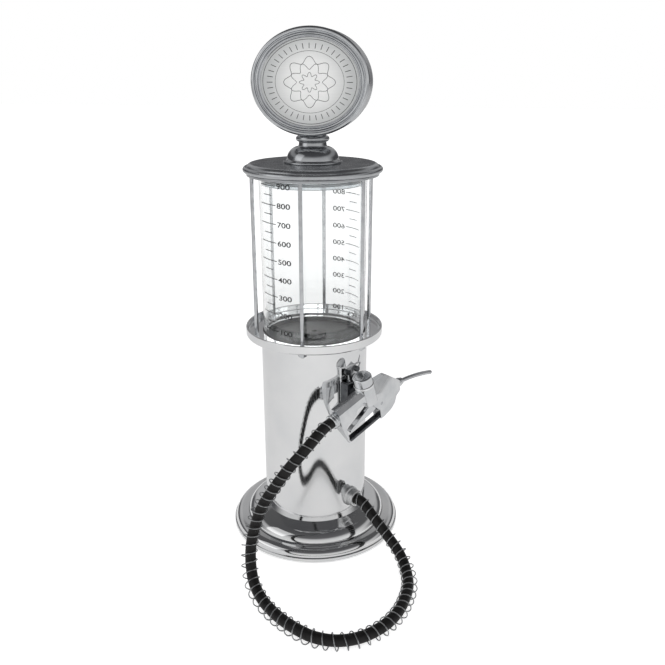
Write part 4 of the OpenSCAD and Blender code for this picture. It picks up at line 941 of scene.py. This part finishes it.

# %% [markdown]
# The dial is brushed aluminium sheet: long, thin streaks across, made by squeezing a
# noise to a few tenths of a millimetre in height and stretching it sideways. Its middle
# is painted lighter than its edge, as a painted highlight.

# %% Dial
dial, tree, body = finish("brushed_dial_sheet", Metallic=0.25)
place = add(tree, "ShaderNodeTexCoord").outputs["Object"]
squeeze = add(tree, "ShaderNodeMapping", {"Vector": place, "Scale": (per_metre(40.0), per_metre(40.0), per_metre(0.5))})
streak = add(tree, "ShaderNodeTexNoise", {"Vector": squeeze.outputs["Vector"], "Scale": 1.0, "Detail": 3.0})
apart = add(tree, "ShaderNodeSeparateXYZ", {"Vector": place})
high = add(tree, "ShaderNodeMath", {0: apart.outputs["Z"], 1: SIGN_Z * MM}, operation="SUBTRACT")
flat = add(tree, "ShaderNodeCombineXYZ", {"X": apart.outputs["X"], "Y": high.outputs["Value"]})
reach = add(tree, "ShaderNodeVectorMath", {0: flat.outputs["Vector"]}, operation="LENGTH")
# Painted highlight: from 12 mm to 40 mm off the dial's middle the colour darkens towards the edge, so the middle is
# painted lighter.
edge = add(tree, "ShaderNodeMapRange", {
    "Value": reach.outputs["Value"], "From Min": 0.012, "From Max": 0.040, "To Max": 0.8,
}, interpolation_type="SMOOTHSTEP")
worn = add(tree, "ShaderNodeMath", {0: streak.outputs["Fac"], 1: 0.2}, operation="MULTIPLY")
share = add(tree, "ShaderNodeMath", {0: edge.outputs["Result"], 1: worn.outputs["Value"]}, operation="ADD")
shade = add(tree, "ShaderNodeValToRGB", {"Fac": share.outputs["Value"]})
shade.color_ramp.elements[0].color, shade.color_ramp.elements[1].color = linear("#efefee"), linear("#b2b4b4")
tree.links.new(shade.outputs["Color"], body.inputs["Base Color"])
gloss = add(tree, "ShaderNodeMapRange", {"Value": streak.outputs["Fac"], "To Min": 0.28, "To Max": 0.42})
tree.links.new(gloss.outputs["Result"], body.inputs["Roughness"])
relief = add(tree, "ShaderNodeBump", {"Height": streak.outputs["Fac"], "Strength": 0.05, "Distance": RELIEF_DEPTH})
tree.links.new(relief.outputs["Normal"], body.inputs["Normal"])

# %% [markdown]
# ### Rubber, plastic and ink
# The hose is smooth extruded rubber with a faint dusty grain. The canister is clear
# acrylic, whose real wall gives it its own darker edges, on a floor of dark plastic.
# The lid's plug is a slab of clear plastic too, a little clouded, so that it shows
# under a raised lid. The ink is matt.

# %% Rubber, plastic and ink
rubber, tree, body = finish("extruded_black_rubber", IOR=1.4)
blotched(tree, body, "#141313", "#0c0b0b", 6.0, (0.46, 0.58), bump_mm=0.8, bump_strength=0.15)

pad_plastic, tree, body = finish("moulded_dark_plastic", IOR=1.5)
blotched(tree, body, "#565759", "#4a4b4d", 5.0, (0.32, 0.42), bump_mm=0.6, bump_strength=0.08)

tube_plastic, tree, body = finish("extruded_tube_plastic", IOR=1.45)
body.inputs["Transmission Weight"].default_value = 0.8
blotched(tree, body, "#dcdedf", "#cfd2d4", 6.0, (0.35, 0.45))

plug_plastic, tree, body = finish("moulded_clouded_plastic", IOR=1.49)
body.inputs["Transmission Weight"].default_value = 1.0
blotched(tree, body, "#d2d7da", "#c6ccd0", 8.0, (0.12, 0.22))

ink, tree, body = finish("matt_screen_ink", IOR=1.45)
blotched(tree, body, "#3a3a3b", "#2a2a2b", 2.0, (0.5, 0.6))

acrylic, tree, body = finish("clear_moulded_acrylic", IOR=1.49)
place = add(tree, "ShaderNodeTexCoord").outputs["Object"]
haze = add(tree, "ShaderNodeTexNoise", {"Vector": place, "Scale": per_metre(25.0), "Detail": 2.0})
apart = add(tree, "ShaderNodeSeparateXYZ", {"Vector": place})
wall = add(tree, "ShaderNodeMath", {0: apart.outputs["Z"], 1: (CANISTER_FLOOR + 2.2) * MM}, operation="GREATER_THAN")
tree.links.new(wall.outputs["Value"], body.inputs["Transmission Weight"])
clear = add(tree, "ShaderNodeMapRange", {"Value": haze.outputs["Fac"], "To Min": 0.0, "To Max": 0.03})
gloss = add(tree, "ShaderNodeMix", {"Factor": wall.outputs["Value"], 2: 0.5}, data_type="FLOAT")
tree.links.new(clear.outputs["Result"], gloss.inputs[3])
tree.links.new(gloss.outputs[0], body.inputs["Roughness"])
tint = add(tree, "ShaderNodeMix", {
    "Factor": wall.outputs["Value"], COLOUR_A: linear("#18191a"), COLOUR_B: linear("#fbfcfc"),
}, data_type="RGBA")
tree.links.new(tint.outputs[COLOUR_OUT], body.inputs["Base Color"])

# %% [markdown]
# ### Handing out the finishes
# Every piece and every solid names a material slot of the record. One table turns the
# slot into a finish, with a few exceptions by name.

# %% Hand out the finishes
by_slot = {
    "polished_chrome": chrome, "nozzle_chrome": cast_chrome, "satin_grey": satin, "sign_frame": frame_satin,
    "dial_grey": dial, "rod_steel": bar_steel, "plain_steel": bar_steel, "dark_steel": dark_steel,
    "spring_wire": wire_steel, "fitting_brass": brass, "clear_plastic": acrylic, "tube_plastic": tube_plastic,
    "dark_plastic": pad_plastic, "black_rubber": rubber,
}
by_name = {
    "front_dial_ink": ink, "back_dial_ink": ink, "canister_scale": ink, "outlet_boss": collar_satin,
    "turned_neck": neck_satin, "drain_fitting": rubber, "lid_plug": plug_plastic,
}
node_slot = {row["node"]: row["material_slot"] for row in frame["record"]["subparts"]}


def dress(obj, material):
    """The material becomes the object's only one."""
    obj.data.materials.clear()
    obj.data.materials.append(material)


for obj in bpy.context.scene.objects:
    if obj.type == "MESH":
        slot = node_slot.get(obj.name) or obj.get("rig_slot")
        dress(obj, by_name.get(obj.name) or by_slot[slot])
print("finishes:", len(set(by_slot.values()) | set(by_name.values())))

# %% [markdown]
# ## Studio
# A pale floor, soft lamps on each side, overhead, in front and behind. Polished metal
# shows the room, so the room matters: light on the camera's side, dark overhead, and
# dark behind with a light band across it and light wings on both sides.
# The floor and the sky are plain white to the camera, and the floor keeps the object's
# soft shadow.


# %% Floor
def direct_view(tree):
    """The Light Path node, and a value of one for rays from the camera, straight or through plastic."""
    ray = add(tree, "ShaderNodeLightPath")
    seen, passed = ray.outputs["Is Camera Ray"], ray.outputs["Is Transmission Ray"]
    return ray, add(tree, "ShaderNodeMath", {0: seen, 1: passed}, operation="MAXIMUM").outputs["Value"]


floor_mesh = bpy.data.meshes.new("studio_floor")
FLOOR = 8.0
corners = [(-FLOOR, -FLOOR, 0), (FLOOR, -FLOOR, 0), (FLOOR, FLOOR, 0), (-FLOOR, FLOOR, 0)]
floor_mesh.from_pydata(corners, [], [(0, 1, 2, 3)])
floor = bpy.data.objects.new("studio_floor", floor_mesh)
floor.location.z = -0.0002
bpy.context.scene.collection.objects.link(floor)

paper = bpy.data.materials.new("white_paper_floor")
paper.use_nodes = True
tree = paper.node_tree
tree.nodes.clear()
out = add(tree, "ShaderNodeOutputMaterial")
ray, direct = direct_view(tree)
tone = add(tree, "ShaderNodeMix", {
    "Factor": ray.outputs["Is Glossy Ray"], COLOUR_A: linear("#e8e8e8"), COLOUR_B: linear("#bcbcbc"),
}, data_type="RGBA")
matt = add(tree, "ShaderNodeBsdfDiffuse", {"Color": tone.outputs[COLOUR_OUT]})
spot = add(tree, "ShaderNodeNewGeometry").outputs["Position"]
away = add(tree, "ShaderNodeVectorMath", {0: spot}, operation="LENGTH")
far = add(tree, "ShaderNodeMapRange", {
    "Value": away.outputs["Value"], "From Min": 0.5, "From Max": 2.0, "To Min": 0.64, "To Max": 1.0,
})
plain = add(tree, "ShaderNodeMath", {0: direct, 1: far.outputs["Result"]}, operation="MULTIPLY")
mirrored = add(tree, "ShaderNodeMath", {0: ray.outputs["Is Glossy Ray"], 1: 0.42}, operation="MULTIPLY")
lift = add(tree, "ShaderNodeMath", {0: plain.outputs["Value"], 1: mirrored.outputs["Value"]}, operation="MAXIMUM")
glow = add(tree, "ShaderNodeEmission", {"Color": linear("#ffffff"), "Strength": lift.outputs["Value"]})
both = add(tree, "ShaderNodeAddShader", {0: matt.outputs["BSDF"], 1: glow.outputs["Emission"]})
tree.links.new(both.outputs["Shader"], out.inputs["Surface"])
floor_mesh.materials.append(paper)
print("floor width in m:", 2 * FLOOR)

# %% Room
world = bpy.data.worlds.new("studio_room")
bpy.context.scene.world = world
world.use_nodes = True
tree = world.node_tree
tree.nodes.clear()
out = add(tree, "ShaderNodeOutputWorld")
way = add(tree, "ShaderNodeTexCoord").outputs["Generated"]
towards = (math.sin(math.radians(CAMERA_AZIMUTH)), -math.cos(math.radians(CAMERA_AZIMUTH)), 0.0)
ahead = add(tree, "ShaderNodeVectorMath", {0: way, 1: towards}, operation="DOT_PRODUCT")
side = add(tree, "ShaderNodeMapRange", {
    "Value": ahead.outputs["Value"], "From Min": -0.3, "From Max": 0.4,
}, interpolation_type="SMOOTHSTEP")
rise = add(tree, "ShaderNodeSeparateXYZ", {"Vector": way})


def graded(stops):
    """Colours by the sine of the height angle, from the horizon at 0 to straight up at 1."""
    ramp = add(tree, "ShaderNodeValToRGB", {"Fac": rise.outputs["Z"]})
    while len(ramp.color_ramp.elements) < len(stops):
        ramp.color_ramp.elements.new(0.5)
    for stop, (at, shade) in zip(ramp.color_ramp.elements, stops):
        stop.position = at
    for stop, (at, shade) in zip(ramp.color_ramp.elements, stops):
        stop.color = linear(shade)
    return ramp.outputs["Color"]


across = add(tree, "ShaderNodeVectorMath", {0: way, 1: (-towards[1], towards[0], 0.0)}, operation="DOT_PRODUCT")
aside = add(tree, "ShaderNodeMath", {0: across.outputs["Value"]}, operation="ABSOLUTE")
inner = add(tree, "ShaderNodeMapRange", {
    "Value": aside.outputs["Value"], "From Min": 0.08, "From Max": 0.20,
}, interpolation_type="SMOOTHSTEP")
outer = add(tree, "ShaderNodeMapRange", {
    "Value": aside.outputs["Value"], "From Min": 0.34, "From Max": 0.50, "To Min": 1.0, "To Max": 0.0,
}, interpolation_type="SMOOTHSTEP")
wings = add(tree, "ShaderNodeMath", {0: inner.outputs["Result"], 1: outer.outputs["Result"]}, operation="MULTIPLY")
behind = graded([
    (0.0, "#5a5a5c"), (0.24, "#5e5e60"), (0.38, "#acacad"), (0.54, "#acacad"), (0.64, "#585859"), (1.0, "#525254"),
])
beside = graded([(0.0, "#8a8a8c"), (0.16, "#b6b6b7"), (0.54, "#b6b6b7"), (0.66, "#585859"), (1.0, "#525254")])
in_front = graded([(0.0, "#e6e6e6"), (0.36, "#d8d8d8"), (0.50, "#bcbcbd"), (0.64, "#646466"), (1.0, "#525254")])
back = add(tree, "ShaderNodeMix", {
    "Factor": wings.outputs["Value"], COLOUR_A: behind, COLOUR_B: beside,
}, data_type="RGBA")
room = add(tree, "ShaderNodeMix", {
    "Factor": side.outputs["Result"], COLOUR_A: back.outputs[COLOUR_OUT], COLOUR_B: in_front,
}, data_type="RGBA")
ray, direct = direct_view(tree)
shown = add(tree, "ShaderNodeMix", {
    "Factor": direct, COLOUR_A: room.outputs[COLOUR_OUT], COLOUR_B: linear("#ffffff"),
}, data_type="RGBA")
sky = add(tree, "ShaderNodeBackground", {"Color": shown.outputs[COLOUR_OUT], "Strength": 1.0})
tree.links.new(sky.outputs["Background"], out.inputs["Surface"])
print("room nodes:", len(tree.nodes))

# %% [markdown]
# The lamps are large and weak. Only the left one is seen in the metal, as a soft patch;
# the others give light alone, so that the room decides what the metal shows.


# %% Lamps
def soft_lamp(name, azimuth, elevation, distance, width, height, power, mirrored):
    """A rectangular lamp at an azimuth from the front and a height angle, facing the object's middle."""
    data = bpy.data.lights.new(name, "AREA")
    data.shape, data.size, data.size_y, data.energy = "RECTANGLE", width, height, power
    lamp = bpy.data.objects.new(name, data)
    a, e = math.radians(azimuth), math.radians(elevation)
    aim = np.array([math.sin(a) * math.cos(e), -math.cos(a) * math.cos(e), math.sin(e)])
    lamp.location = aim * distance + np.array([0, 0, 0.2])
    lamp.rotation_euler = (math.pi / 2 - e, 0, a)
    bpy.context.scene.collection.objects.link(lamp)
    lamp.visible_camera = False
    lamp.visible_glossy = mirrored


LAMPS = [       # name, azimuth, height angle, distance, width, height, watts, seen in metal
    ("left_softbox", -58, 30, 1.5, 0.9, 1.2, 1.8, True),
    ("right_softbox", 78, 28, 1.6, 0.8, 1.2, 2.6, False),
    ("top_softbox", 0, 86, 1.6, 1.2, 1.2, 5.0, False),
    ("front_fill", CAMERA_AZIMUTH, 34, 1.7, 1.2, 1.0, 14.0, False),
    ("rear_fill", CAMERA_AZIMUTH + 180, 14, 1.7, 1.2, 0.6, 3.5, False),
]
for row in LAMPS:
    soft_lamp(*row)
print("lamps:", len(LAMPS))
